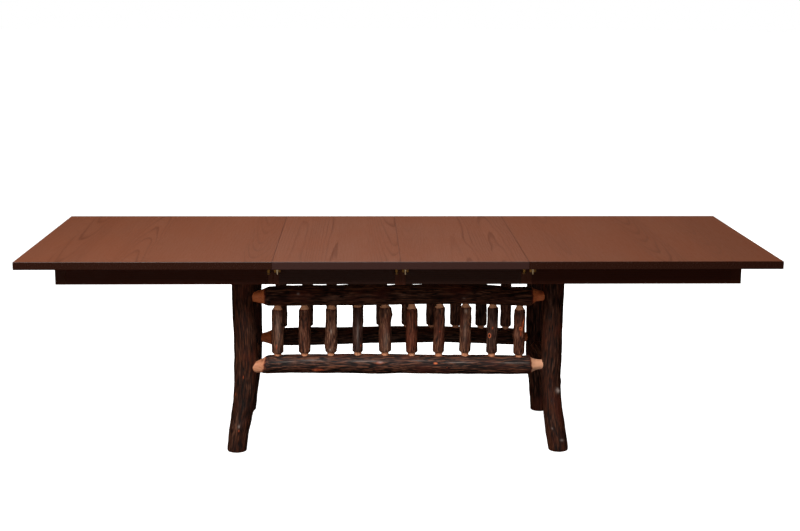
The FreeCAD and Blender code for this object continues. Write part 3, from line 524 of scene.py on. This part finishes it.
def makeLog(name, spec, look, material, body, replaced):
    # Stations: place along the log, radius, offset to the out side, offset to the over side, bark or not
    stations, smooth = spec["stations"], spec["smooth"]
    along, out, over, origin = spec["along"], spec["out"], spec["over"], spec["origin"]
    places = ringPlaces(stations, look["step"])
    rings = len(places) - 1
    made = bmesh.new()
    bmesh.ops.create_cone(made, cap_ends=True, cap_tris=False, segments=look["sides"], radius1=1, radius2=1,
                          depth=1)
    uprights = [edge for edge in made.edges if abs(edge.verts[0].co.z - edge.verts[1].co.z) > 0.5]
    bmesh.ops.subdivide_edges(made, edges=uprights, cuts=rings - 1, use_grid_fill=True)
    layers = {mark: made.verts.layers.float.new(mark) for mark in logMarks}
    shift = Vector((look["seed"] * 7.31, look["seed"] * 3.17, look["seed"] * 5.53))
    middles = {}
    for vert in made.verts:
        ring = round((vert.co.z + 0.5) * rings)
        at = places[ring]
        turn = math.atan2(vert.co.y, vert.co.x)
        flat = Vector((math.cos(turn), math.sin(turn), 0))
        if ring not in middles:
            wander = noise.noise_vector(Vector((at / look["wanderLength"], look["seed"], 0))) * look["wander"]
            bark = throughStations(stations, at, 4, False)
            middles[ring] = (throughStations(stations, at, 2, smooth) + wander.x * bark,
                             throughStations(stations, at, 3, smooth) + wander.y * bark)
        outward, sideways = middles[ring]
        # The edge of the bark is ragged, and the log's outline with it
        torn = at + noise.noise(flat * look["tearCount"] + shift) * look["ragged"]
        torn -= flat.y * spec.get("slant", (0, 0))[int(at > 0)] * easeBetween(slantFrom, slantTo, abs(at))
        torn = min(max(torn, stations[0][0]), stations[-1][0]) if 0 < ring < rings else at
        radius = throughStations(stations, torn, 1, smooth)
        bark = throughStations(stations, torn, 4, False)
        place = flat * radius / look["cell"] + shift
        place.z += at * look["stretch"] / look["cell"]
        ridge = barkRelief(place, look)
        lumps = noise.noise(Vector((flat.x * 1.1, flat.y * 1.1, at / look["lumpLength"])) + shift) * look["lumps"]
        height = bark * (ridge * look["relief"] - look["relief"] * 0.6 + lumps)
        vert[layers["ridge"]] = ridge
        vert[layers["peel"]] = 1 - bark
        for mark in spec["marks"]:
            aroundGap = (turn - math.radians(mark["turn"]) + math.pi) % (2 * math.pi) - math.pi
            gap = math.hypot((at - mark["at"]) / mark["length"], aroundGap * radius / mark["width"])
            if gap > spotFade["reach"]:
                continue
            weight = math.exp(-gap * gap * spotFade["edge"])
            height += mark["lift"] * weight * (1 - mark["dimple"] * math.exp(-gap * gap * spotFade["dimple"]))
            if mark["kind"] in logMarks:
                weight *= mark["strength"]
                vert[layers[mark["kind"]]] = max(vert[layers[mark["kind"]]], weight)
        for edge in spec["barkEdges"]:
            vert[layers["rim"]] = max(vert[layers["rim"]], easeBetween(look["rim"], 0, abs(torn - edge)))
        vert.co = origin + along * at + out * (outward + flat.x * (radius + height)) \
            + over * (sideways + flat.y * (radius + height))
    finish(made, name, body, material, replaced, True)


# Legs, kicked out at the foot

legLook = {"step": 0.0036, "sides": 144, "cell": 0.0056, "stretch": 0.075, "weave": 0.8, "furrow": 0.34,
           "relief": 0.0018, "wander": 0.0016, "wanderLength": 0.13, "lumps": 0.0016, "lumpLength": 0.06,
           "ragged": 0.002, "tearCount": 2.2, "rim": 0.004}
legBuild = {
    "spacing": 1.166, "depth": 0.524, "radius": 0.042, "splay": 0.032,
    # Share of the height, share of the splay, step to the front in metres, share of the radius
    "left_front": [
        (0, 0.93, 0.024, 0.81), (0.002, 0.95, 0.024, 0.86), (0.012, 0.95, 0.024, 0.875), (0.034, 0.92, 0.023, 0.89),
        (0.1, 0.75, 0.019, 0.905), (0.144, 0.58, 0.016, 0.94), (0.2, 0.40, 0.011, 0.96), (0.254, 0.16, 0.007, 0.99),
        (0.31, 0.0, 0.003, 1.01), (0.366, -0.09, 0, 1.02), (0.42, -0.12, -0.002, 1.02),
        (0.478, -0.19, -0.002, 1.025), (0.59, -0.14, -0.002, 1.02), (0.70, -0.06, -0.001, 1.01), (0.85, 0, 0, 1.0),
        (1, 0, 0, 1)],
    "right_front": [
        (0, 0.85, 0.030, 0.84), (0.002, 0.86, 0.030, 0.885), (0.012, 0.85, 0.030, 0.91), (0.05, 0.75, 0.027, 0.92),
        (0.1, 0.58, 0.022, 0.93), (0.15, 0.44, 0.017, 0.915), (0.2, 0.28, 0.012, 0.89), (0.26, 0.14, 0.007, 0.87),
        (0.31, 0.04, 0.003, 0.86), (0.37, -0.05, 0, 0.865), (0.42, -0.08, -0.002, 0.88),
        (0.5, -0.05, -0.002, 0.905), (0.6, -0.03, -0.001, 0.92), (0.72, -0.06, 0, 0.93), (0.85, -0.04, 0, 0.95),
        (1, 0, 0, 0.96)],
    "left_rear": [
        (0, 0.98, -0.003, 0.74), (0.002, 1.0, -0.003, 0.78), (0.012, 1.0, -0.003, 0.80), (0.1, 0.86, -0.002, 0.85),
        (0.21, 0.58, 0, 0.92), (0.28, 0.36, 0.001, 0.92), (0.38, 0.18, 0.001, 0.88), (0.51, 0.10, 0.001, 0.86),
        (0.74, 0.12, 0, 0.85), (1, 0.12, 0, 0.85)],
    "right_rear": [
        (0, 0.62, 0.009, 0.80), (0.002, 0.63, 0.009, 0.845), (0.012, 0.62, 0.009, 0.86), (0.087, 0.52, 0.006, 0.87),
        (0.15, 0.40, 0.004, 0.86), (0.21, 0.25, 0.002, 0.86), (0.3, 0.05, 0, 0.87), (0.4, -0.05, 0, 0.92),
        (0.52, -0.03, 0, 0.91), (0.74, -0.03, 0, 0.92), (1, 0, 0, 0.94)],
    "marks": {
        "left_front": [
            spot("scar", 0.292, -6, 0.012, 0.003, strength=0.8),
            spot("scar", 0.222, -52, 0.010, 0.004, strength=0.8),
            spot("scar", 0.086, 0, 0.006, 0.0045, lift=0.001),
            spot("paleAndGlint", 0.102, -4, 0.006, 0.004, strength=0.6),
            spot("burl", 0.158, 78, 0.010, 0.02, lift=0.003),
            spot("burl", 0.330, -85, 0.03, 0.03, lift=0.002),
        ],
        "right_front": [
            # painted highlight: a whitish glint on the raised knot
            spot("paleAndGlint", 0.232, 36, 0.010, 0.009, lift=0.006, dimple=0.3),
            spot("burl", 0.226, 42, 0.02, 0.02, lift=0.002),
            spot("burl", 0.262, 88, 0.014, 0.02, lift=0.003),
            spot("paleAndGlint", 0.090, -22, 0.004, 0.003, strength=0.7),
            spot("paleAndGlint", 0.045, 25, 0.005, 0.008, strength=0.5),
        ],
        "left_rear": [
            spot("knot", 0.420, 170, 0.011, 0.009, lift=0.003, dimple=0.8),
            spot("scar", 0.180, 205, 0.02, 0.006),
        ],
        "right_rear": [
            spot("knot", 0.250, 150, 0.012, 0.010, lift=0.003, dimple=0.8),
            spot("scar", 0.520, 190, 0.018, 0.005),
        ],
    },
}
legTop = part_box("left_bolster")[0].z
for handName, hand in hands.items():
    for sideName, side in sides.items():
        name = f"{handName}_{sideName}"
        stations = []
        for heightShare, leanShare, outward, girthShare in legBuild[name]:
            sideways = hand * legBuild["splay"] * leanShare
            stations.append((legTop * heightShare, legBuild["radius"] * girthShare, outward, sideways,
                             int(heightShare > 0)))
        spec = {
            "stations": stations, "along": up, "out": front, "over": right, "smooth": True,
            "origin": Vector((hand * legBuild["spacing"] / 2, side * legBuild["depth"] / 2, 0)),
            "marks": legBuild["marks"][name], "barkEdges": [0.0],
        }
        look = {**legLook, "seed": 3 + hand + 2 * side}
        makeLog(f"{name}_log", spec, look, legBark, "base", [f"{name}_leg"])
print("legs made")


# Rails with peeled cones at their ends

railShape = {**legLook, "step": 0.0038, "cell": 0.0048, "stretch": 0.07, "weave": 1.0, "relief": 0.0016,
             "lumps": 0.0011, "lumpLength": 0.07, "wander": 0.0012, "wanderLength": 0.2, "rim": 0.0045,
             "ragged": 0.004, "tearCount": 2.6}
coneFrom, coneTo = 0.46, 0.54  # metres from a rail's middle over which its end moves to the line of its tenon
# Edges are where the bark ends; stations are place along the rail, radius, rise of its middle, bark or not
railBuild = {
    "front_upper": {"seed": 11, "edges": (-0.500, 0.502), "forward": (0.003, 0), "stations": [
        (-0.571, 0.0185, 0, 0), (-0.550, 0.0190, 0, 0), (-0.534, 0.0206, 0, 0), (-0.517, 0.0252, 0.0004, 0),
        (-0.502, 0.0308, 0.001, 0), (-0.500, 0.0318, 0.001, 1), (-0.487, 0.0362, 0.0015, 1),
        (-0.42, 0.0384, 0.0028, 1), (-0.3, 0.0382, 0.0033, 1), (-0.223, 0.0381, 0.0037, 1),
        (-0.19, 0.0392, 0.0051, 1), (-0.162, 0.0398, 0.0062, 1), (-0.109, 0.0399, 0.0069, 1),
        (-0.072, 0.0387, 0.0062, 1), (-0.041, 0.0368, 0.0048, 1), (0, 0.0377, 0.0063, 1),
        (0.072, 0.0370, 0.0064, 1), (0.118, 0.0377, 0.0073, 1), (0.171, 0.0382, 0.0076, 1),
        (0.209, 0.0382, 0.0075, 1), (0.292, 0.0377, 0.0068, 1), (0.337, 0.0364, 0.0054, 1),
        (0.383, 0.0363, 0.0027, 1), (0.428, 0.0357, -0.0003, 1), (0.497, 0.0362, -0.0017, 1),
        (0.501, 0.0350, -0.0016, 1), (0.503, 0.0318, -0.0008, 0), (0.520, 0.0215, 0.0008, 0), (0.538, 0.0188, 0, 0),
        (0.571, 0.0185, 0, 0)],
        "marks": [
            # painted shade: these two rim marks darken the upper side of the peeled cones at the rail's ends
            spot("rim", -0.524, 62, 0.022, 0.010, strength=0.7),
            spot("rim", 0.536, 48, 0.015, 0.013, strength=0.9),
            spot("paleAndGlint", -0.376, 22, 0.005, 0.005, lift=0.001, strength=0.6),
            spot("scar", 0.165, 10, 0.012, 0.003, strength=0.5),
            spot("paleAndGlint", 0.243, -15, 0.006, 0.003, strength=0.4),
        ]},
    "front_lower": {"seed": 12, "edges": (-0.507, 0.502), "forward": (0.008, -0.005),
                    "slant": (0.006, -0.002), "stations": [
        (-0.571, 0.0195, -0.003, 0), (-0.553, 0.0206, -0.003, 0), (-0.534, 0.0216, -0.002, 0),
        (-0.520, 0.0250, 0.0020, 0), (-0.508, 0.0298, 0.0046, 0), (-0.506, 0.0316, 0.0050, 1),
        (-0.493, 0.0354, 0.0054, 1), (-0.404, 0.0344, 0.0060, 1), (-0.304, 0.0361, 0.0070, 1),
        (-0.200, 0.0362, 0.0076, 1), (-0.103, 0.0379, 0.0053, 1), (0, 0.0366, 0.0057, 1),
        (0.095, 0.0360, 0.0044, 1), (0.192, 0.0368, 0.0020, 1), (0.297, 0.0367, 0.0017, 1),
        (0.398, 0.0359, 0.0003, 1), (0.497, 0.0348, -0.0006, 1), (0.501, 0.0335, -0.001, 1),
        (0.503, 0.0290, -0.001, 0), (0.520, 0.0212, -0.0005, 0), (0.538, 0.0186, 0, 0), (0.571, 0.0185, 0, 0)],
        "marks": [
            spot("scar", -0.304, -28, 0.036, 0.009, strength=0.9),
            spot("bare", -0.314, -28, 0.007, 0.004, strength=0.8),
            spot("scar", -0.073, 19, 0.019, 0.008, lift=0.001),
            # painted highlight: a white glint at the core of this scar
            spot("paleAndGlint", -0.071, 22, 0.011, 0.005, lift=0.002),
            # painted highlights: long thin pale streaks along the rail's upper side, glints of the finish
            spot("paleAndGlint", -0.130, 29, 0.070, 0.003, strength=0.5),
            spot("paleAndGlint", -0.330, 33, 0.050, 0.003, strength=0.3),
            spot("paleAndGlint", -0.425, 27, 0.035, 0.0018, strength=0.5),
            spot("paleAndGlint", 0.080, 33, 0.035, 0.0018, strength=0.6),
            spot("paleAndGlint", 0.225, 25, 0.050, 0.0018, strength=0.6),
            spot("paleAndGlint", 0.430, 25, 0.060, 0.0018, strength=0.6),
            spot("rim", -0.513, 58, 0.008, 0.011, strength=0.8),
            spot("scar", 0.139, 19, 0.012, 0.007),
            spot("bare", 0.139, 19, 0.007, 0.004),
            spot("scar", 0.182, -6, 0.006, 0.004, strength=0.7),
        ]},
    "rear_upper": {"seed": 13, "edges": (-0.502, 0.502), "stations": [
        (-0.571, 0.0185, 0, 0), (-0.542, 0.0185, 0, 0), (-0.503, 0.0300, 0, 0), (-0.501, 0.0325, 0, 1),
        (-0.490, 0.0340, 0, 1), (-0.250, 0.0348, 0.002, 1), (0, 0.0342, 0.004, 1), (0.250, 0.0336, 0.002, 1),
        (0.490, 0.0338, 0, 1), (0.501, 0.0322, 0, 1), (0.503, 0.0300, 0, 0), (0.542, 0.0185, 0, 0),
        (0.571, 0.0185, 0, 0)],
        "marks": [
            spot("knot", 0.210, 170, 0.010, 0.008, lift=0.002, dimple=0.8),
        ]},
    "rear_lower": {"seed": 14, "edges": (-0.510, 0.504), "stations": [
        (-0.571, 0.0178, -0.0095, 0), (-0.553, 0.0180, -0.0095, 0), (-0.535, 0.0215, -0.0090, 0),
        (-0.511, 0.0298, -0.0080, 0), (-0.509, 0.0318, -0.0078, 1), (-0.498, 0.0352, -0.0074, 1),
        (-0.436, 0.0369, -0.0058, 1), (-0.325, 0.0370, -0.0032, 1), (-0.209, 0.0354, -0.0017, 1),
        (-0.102, 0.0344, 0.001, 1), (0.009, 0.0346, 0.002, 1), (0.116, 0.0336, 0.0031, 1),
        (0.223, 0.0325, 0.0020, 1), (0.338, 0.0335, -0.0012, 1), (0.450, 0.0344, -0.006, 1),
        (0.495, 0.0338, -0.0075, 1), (0.503, 0.0320, -0.0078, 1), (0.505, 0.0300, -0.0078, 0),
        (0.540, 0.0190, -0.009, 0), (0.571, 0.0178, -0.0095, 0)],
        "marks": [
            spot("scar", -0.250, 175, 0.02, 0.006),
        ]},
}
for name, build in railBuild.items():
    low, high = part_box(name + "_rail")
    middle = (low + high) / 2
    forward = build.get("forward", (0, 0))
    build["stations"] = [(at, radius, easeBetween(coneFrom, coneTo, abs(at)) * forward[int(at > 0)], rise, bark)
                         for at, radius, rise, bark in build["stations"]]
    build["height"] = middle.z
    spec = {"stations": build["stations"], "along": right, "out": front, "over": up, "smooth": False,
            "slant": build.get("slant", (0, 0)), "origin": Vector((0, middle.y, middle.z)), "marks": build["marks"],
            "barkEdges": build["edges"]}
    bark = railBark if name == "front_lower" else shadedRailBark
    makeLog(name + "_rail_log", spec, {**railShape, "seed": build["seed"]}, bark, "base", [name + "_rail"])

# Place from the middle to either end, radius, bark or not
crossStations = [(0.250, 0.0150, 0), (0.223, 0.0150, 0), (0.185, 0.0275, 0), (0.183, 0.0300, 1), (0.174, 0.0326, 1),
                 (0.080, 0.0334, 1)]
for handName, hand in hands.items():
    name = handName + "_cross_rail"
    low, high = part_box(name)
    middle = (low + high) / 2
    stations = [(-at, radius, 0, 0, bark) for at, radius, bark in crossStations]
    stations += [(at, radius, 0, 0, bark) for at, radius, bark in reversed(crossStations)]
    marks = [spot("knot", 0.06 * hand, 20, 0.010, 0.008, lift=0.002, dimple=0.8)]
    spec = {"stations": stations, "along": Vector((0, 1, 0)), "out": right * hand, "over": up, "smooth": False,
            "origin": Vector((middle.x, 0, middle.z)), "marks": marks, "barkEdges": (-0.184, 0.184)}
    makeLog(name + "_log", spec, {**railShape, "seed": 20 + hand}, crossBark, "base", [name])
print("rails made")


# Spindles, each from its own branch

spindleShape = {**legLook, "step": 0.003, "sides": 64, "cell": 0.0044, "stretch": 0.08, "relief": 0.001,
                "wander": 0.0014, "wanderLength": 0.06, "lumps": 0.0011, "lumpLength": 0.03, "rim": 0.0025,
                "ragged": 0.0022, "tearCount": 2.4}
spindleBuild = {
    "radius": 0.0196, "footTenon": 0.0138, "headTenon": 0.0106, "foot": 0.0067, "neck": 0.0132, "count": 10,
    "front": {"pitch": 0.1015, "shift": 0.0}, "rear": {"pitch": 0.1037, "shift": -0.0045},
    # Rise from the lower edge of the bark with a share of the tenon, or a share of the radius, bark or not
    "footTaper": ((-0.004, 1), (-0.0006, 1.05), (0.0006, 1.15)),
    "footCut": ((0.0028, 0.83, 0), (0.0034, 0.86, 1), (0.0055, 0.985, 1), (0.012, 1, 1)),
    # The same from the upper edge of the bark, and from the edge of the rail above
    "headCut": ((-0.004, 0.99, 1), (-0.0008, 0.93, 1), (0.0006, 0.84, 0), (0.004, 0.75, 0)),
    "headTaper": ((0, 1.05), (0.004, 1)),
}


def railEdge(name, x, side):
    build = railBuild[name]
    radius = throughStations(build["stations"], x, 1, False)
    return build["height"] + throughStations(build["stations"], x, 3, False) + side * radius


def barkTop(head, spindle):
    return head - spindleBuild["neck"] - spindle.get("cone", 0)


def spindleStations(low, high, foot, head, spindle):
    build = spindleBuild
    radius, tenon, tip = build["radius"] * spindle["girth"], build["footTenon"], build["headTenon"]
    barkLow, barkHigh = foot + build["foot"] - spindle.get("drop", 0), barkTop(head, spindle)
    length = barkHigh - barkLow
    stations = [(low, tenon, 0)]
    stations += [(barkLow + rise, tenon * share, 0) for rise, share in build["footTaper"]]
    stations += [(barkLow + rise, radius * share, bark) for rise, share, bark in build["footCut"]]
    stations += [(barkLow + length * rise, radius * share, 1) for rise, share in spindle["swell"]]
    stations += [(barkHigh + rise, radius * share, bark) for rise, share, bark in build["headCut"]]
    stations += [(head + rise, tip * share, 0) for rise, share in build["headTaper"]]
    stations.append((high, tip, 0))
    leanLow, leanHigh = spindle["lean"]
    return [(at, girth, 0, leanLow + (leanHigh - leanLow) * easeBetween(foot, head, at), bark)
            for at, girth, bark in stations]


# Lean is how far foot and head stand aside; drop and cone lengthen or shorten the peeled foot and head
evenSwell = [(0.25, 1), (0.5, 1), (0.75, 1)]
frontSpindles = [
    {"bark": "grey", "girth": 1.13, "swell": evenSwell, "lean": (0, 0.0012), "drop": 0.001,
     "cone": 0.002, "marks": [
        spot("paleAndGlint", 0.48, 5, 0.09, 0.011, strength=0.3),
        spot("scar", 0.402, -6, 0.016, 0.003)]},
    {"bark": "brown", "girth": 1.13, "swell": [(0.25, 1.0), (0.5, 1.03), (0.75, 0.98)], "lean": (0.0004, 0.001),
     "cone": 0.001, "marks": []},
    {"bark": "grey", "girth": 1.12, "swell": [(0.12, 1.12), (0.25, 1.1), (0.45, 1.03), (0.75, 0.97)],
     "lean": (-0.002, 0.001), "drop": 0.001, "marks": [
        # painted highlight: a whitish streak of sheen on the front of this spindle
        spot("paleAndGlint", 0.463, 0, 0.012, 0.0035, strength=0.8),
        spot("paleAndGlint", 0.391, -8, 0.006, 0.006, strength=0.7, lift=0.001)]},
    {"bark": "dark", "girth": 1.0, "swell": [(0.25, 0.98), (0.5, 1.02), (0.75, 1)], "lean": (-0.002, -0.002),
     "drop": -0.001, "cone": -0.006, "marks": [
        # painted highlight: a bluish-grey sheen down the front of this spindle
        spot("paleAndGlint", 0.46, 0, 0.05, 0.004, strength=0.3),
        spot("scar", 0.406, 40, 0.007, 0.003)]},
    {"bark": "grey", "girth": 1.2, "swell": [(0.2, 1.02), (0.5, 0.99), (0.65, 0.94), (0.82, 1.02)],
     "lean": (-0.0008, 0), "drop": -0.002, "cone": -0.003, "marks": [
        spot("paleAndGlint", 0.43, 10, 0.05, 0.012, strength=0.25),
        spot("burl", 0.524, 84, 0.014, 0.016, lift=0.004)]},
    {"bark": "red", "girth": 1.14, "swell": evenSwell, "lean": (-0.0013, -0.0013), "cone": 0.004, "marks": [
        spot("scar", 0.528, -28, 0.012, 0.004, strength=0.7)]},
    {"bark": "brown", "girth": 1.1, "swell": [(0.2, 1.02), (0.5, 1), (0.75, 0.98)], "lean": (-0.0005, 0.0025),
     "drop": -0.002, "marks": [
        spot("scar", 0.461, 2, 0.005, 0.004)]},
    {"bark": "grey", "girth": 1.13, "swell": [(0.2, 1.0), (0.5, 1.02), (0.8, 1.0)], "lean": (-0.0023, -0.001),
     "drop": -0.004, "cone": -0.002, "marks": [
        # painted highlight: a whitish-grey patch of sheen on the front of this spindle
        spot("paleAndGlint", 0.540, -2, 0.009, 0.006, strength=0.9),
        spot("paleAndGlint", 0.470, -8, 0.05, 0.006, strength=0.3),
        spot("scar", 0.488, 38, 0.007, 0.002)]},
    {"bark": "dark", "girth": 1.06, "swell": [(0.2, 1.0), (0.45, 1.02), (0.75, 1.0)], "lean": (-0.0025, 0),
     "drop": -0.001, "cone": -0.001, "marks": [
        spot("knot", 0.444, -32, 0.011, 0.008, lift=0.002, dimple=0.6),
        spot("scar", 0.474, -2, 0.009, 0.004),
        spot("bare", 0.474, -2, 0.006, 0.002, strength=0.6)]},
    {"bark": "brown", "girth": 1.09, "swell": [(0.2, 1.0), (0.42, 1.06), (0.6, 1.0), (0.8, 1.03)],
     "lean": (-0.001, 0), "drop": 0.002, "cone": 0.002, "marks": [
        spot("scar", 0.510, 48, 0.016, 0.004),
        spot("bare", 0.496, 38, 0.016, 0.003, strength=0.8),
        spot("scar", 0.488, 30, 0.018, 0.008),
        spot("scar", 0.470, 12, 0.014, 0.011),
        spot("bare", 0.470, 22, 0.013, 0.003, strength=0.7),
        spot("knot", 0.472, 4, 0.006, 0.005, lift=0.001),
        spot("scar", 0.450, 10, 0.012, 0.004),
        spot("burl", 0.440, -75, 0.014, 0.02, lift=0.003)]},
]
# How far each spindle of the rear row stands aside
rearLean = (0.001, 0.005, 0.001, 0.0055, -0.001, 0.001, -0.002, -0.005, -0.004, -0.0048)


def rearSpindle(number):
    chance = random.Random(40 + number)
    swell = [(0.25, chance.uniform(0.95, 1.08)), (0.5, chance.uniform(0.96, 1.05)),
             (0.75, chance.uniform(0.95, 1.05))]
    marks = [spot(chance.choice(("knot", "scar")), chance.uniform(0.40, 0.52), chance.uniform(120, 240),
                  chance.uniform(0.006, 0.014), chance.uniform(0.004, 0.007), lift=0.001)]
    bark = chance.choice(sorted(spindleBarks))
    aside = rearLean[number]
    return {"bark": bark, "girth": chance.uniform(1.12, 1.2), "swell": swell, "lean": (aside, aside),
            "marks": marks}


rows = {"front": frontSpindles, "rear": [rearSpindle(i) for i in range(spindleBuild["count"])]}
for sideName, row in rows.items():
    low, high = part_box(f"{sideName}_spindles")
    depth = (low.y + high.y) / 2
    lay = spindleBuild[sideName]
    for i, spindle in enumerate(row):
        x = (i - (spindleBuild["count"] - 1) / 2) * lay["pitch"] + lay["shift"]
        foot, head = railEdge(f"{sideName}_lower", x, 1), railEdge(f"{sideName}_upper", x, -1)
        stations = spindleStations(low.z, high.z, foot, head, spindle)
        spec = {"stations": stations, "along": up, "out": front, "over": right, "smooth": False,
                "origin": Vector((x, depth, 0)), "marks": spindle["marks"],
                "barkEdges": [barkTop(head, spindle)]}
        look = {**spindleShape, "seed": 31 + i + 10 * (sideName == "rear")}
        bark = spindleBarks[spindle["bark"]]
        makeLog(f"{sideName}_spindle_{i + 1}", spec, look, bark, "base", [f"{sideName}_spindles"])
print("spindles made")


# Floor, world, lights and camera

studio = {"floorRadius": 60, "floorTone": 0.9, "glow": 0.06, "farClip": 300}


def makeFloor():
    made = bmesh.new()
    bmesh.ops.create_circle(made, cap_ends=True, segments=96, radius=studio["floorRadius"])
    mesh = bpy.data.meshes.new("floor")
    made.to_mesh(mesh)
    made.free()
    floor = bpy.data.objects.new("floor", mesh)
    bpy.context.scene.collection.objects.link(floor)
    material, tree, shader = newMaterial("paleFloor")
    shader.inputs["Base Color"].default_value = (*[studio["floorTone"]] * 3, 1)
    shader.inputs["Roughness"].default_value = 0.9
    shader.inputs["Specular IOR Level"].default_value = 0
    shader.inputs["Emission Color"].default_value = (1, 1, 1, 1)
    shader.inputs["Emission Strength"].default_value = 1
    clear = addNode(tree, "BsdfTransparent")
    under = addNode(tree, "NewGeometry").outputs["Backfacing"]
    both = addNode(tree, "MixShader", {0: under, 1: shader.outputs[0], 2: clear.outputs[0]})
    tree.links.new(both.outputs[0], tree.nodes["Material Output"].inputs[0])
    mesh.materials.append(material)
    floor.visible_diffuse = False
    floor.visible_glossy = False


def makeLight(name, look):
    light = bpy.data.lights.new(name, "AREA")
    light.shape = "RECTANGLE"
    light.size, light.size_y = look["size"]
    light.energy = look["power"]
    light.color = look["colour"]
    lamp = bpy.data.objects.new(name, light)
    bpy.context.scene.collection.objects.link(lamp)
    aim = Vector(look["aim"]) - Vector(look["place"])
    lamp.location = look["place"]
    lamp.rotation_mode = "QUATERNION"
    lamp.rotation_quaternion = aim.to_track_quat("-Z", "Y")
    lamp.visible_camera = False
    lamp.visible_glossy = look["mirrored"]


lights = {
    "overhead": {"place": (-0.4, 0.2, 3.4), "aim": (0, 0, 0.7), "size": (3.6, 2.4), "power": 68,
                 "colour": (1, 0.985, 0.96), "mirrored": True},
    "frontKey": {"place": (-0.9, -3.2, 3.4), "aim": (0, -0.2, 0.5), "size": (3.4, 1.0), "power": 135,
                 "colour": (1, 0.98, 0.96), "mirrored": True},
    "frontLow": {"place": (-1.2, -5.4, 0.9), "aim": (0, -0.3, 0.5), "size": (4.4, 1.5), "power": 46,
                 "colour": (1, 0.96, 0.92), "mirrored": False},
    "rearFill": {"place": (0.7, 3.4, 2.8), "aim": (0, 0.2, 0.5), "size": (3.4, 1.8), "power": 50,
                 "colour": (1, 0.99, 0.98), "mirrored": False},
    "rearLow": {"place": (1.2, 5.4, 0.9), "aim": (0, 0.3, 0.5), "size": (4.4, 1.5), "power": 26,
                "colour": (1, 0.98, 0.96), "mirrored": False},
    "bounce": {"place": (0, 0, 0.004), "aim": (0, 0, 1), "size": (6, 5), "power": 11, "colour": (1, 0.98, 0.96),
               "mirrored": False},
    "leftFill": {"place": (-4.2, 0, 2.2), "aim": (0, 0, 0.5), "size": (2, 2), "power": 26, "colour": (1, 1, 1),
                 "mirrored": False},
    "rightFill": {"place": (4.2, 0, 2.2), "aim": (0, 0, 0.5), "size": (2, 2), "power": 12, "colour": (1, 1, 1),
                  "mirrored": False},
}


def makeWorld():
    # White to the camera, and to the table only a faint glow from all sides
    world = bpy.data.worlds.new("studio")
    world.use_nodes = True
    tree = world.node_tree
    seen = addNode(tree, "LightPath").outputs["Is Camera Ray"]
    strength = addNode(tree, "MapRange", {"Value": seen, "To Min": studio["glow"], "To Max": 1.0}).outputs[0]
    tree.nodes["Background"].inputs["Color"].default_value = (1, 1, 1, 1)
    tree.links.new(strength, tree.nodes["Background"].inputs["Strength"])
    world.cycles_visibility.glossy = False
    bpy.context.scene.world = world


view = {"place": (-0.13954, -5.60471, 1.72164), "pitch": 0.18707, "yaw": 0.026899, "roll": 0.003747,
        "lens": 65.391, "sensor": 36}


def makeCamera():
    camera = bpy.data.cameras.new("camera")
    camera.lens, camera.sensor_width = view["lens"], view["sensor"]
    camera.clip_end = studio["farClip"]
    rig = bpy.data.objects.new("camera", camera)
    bpy.context.scene.collection.objects.link(rig)
    level = Matrix.Rotation(-view["yaw"], 4, "Z") @ Matrix.Rotation(math.pi / 2 - view["pitch"], 4, "X")
    rig.matrix_world = Matrix.Translation(view["place"]) @ level @ Matrix.Rotation(view["roll"], 4, "Z")
    bpy.context.scene.camera = rig


makeFloor()
for name, look in lights.items():
    makeLight(name, look)
makeWorld()
makeCamera()
bpy.context.scene.view_settings.view_transform = "Standard"
print("stage set")
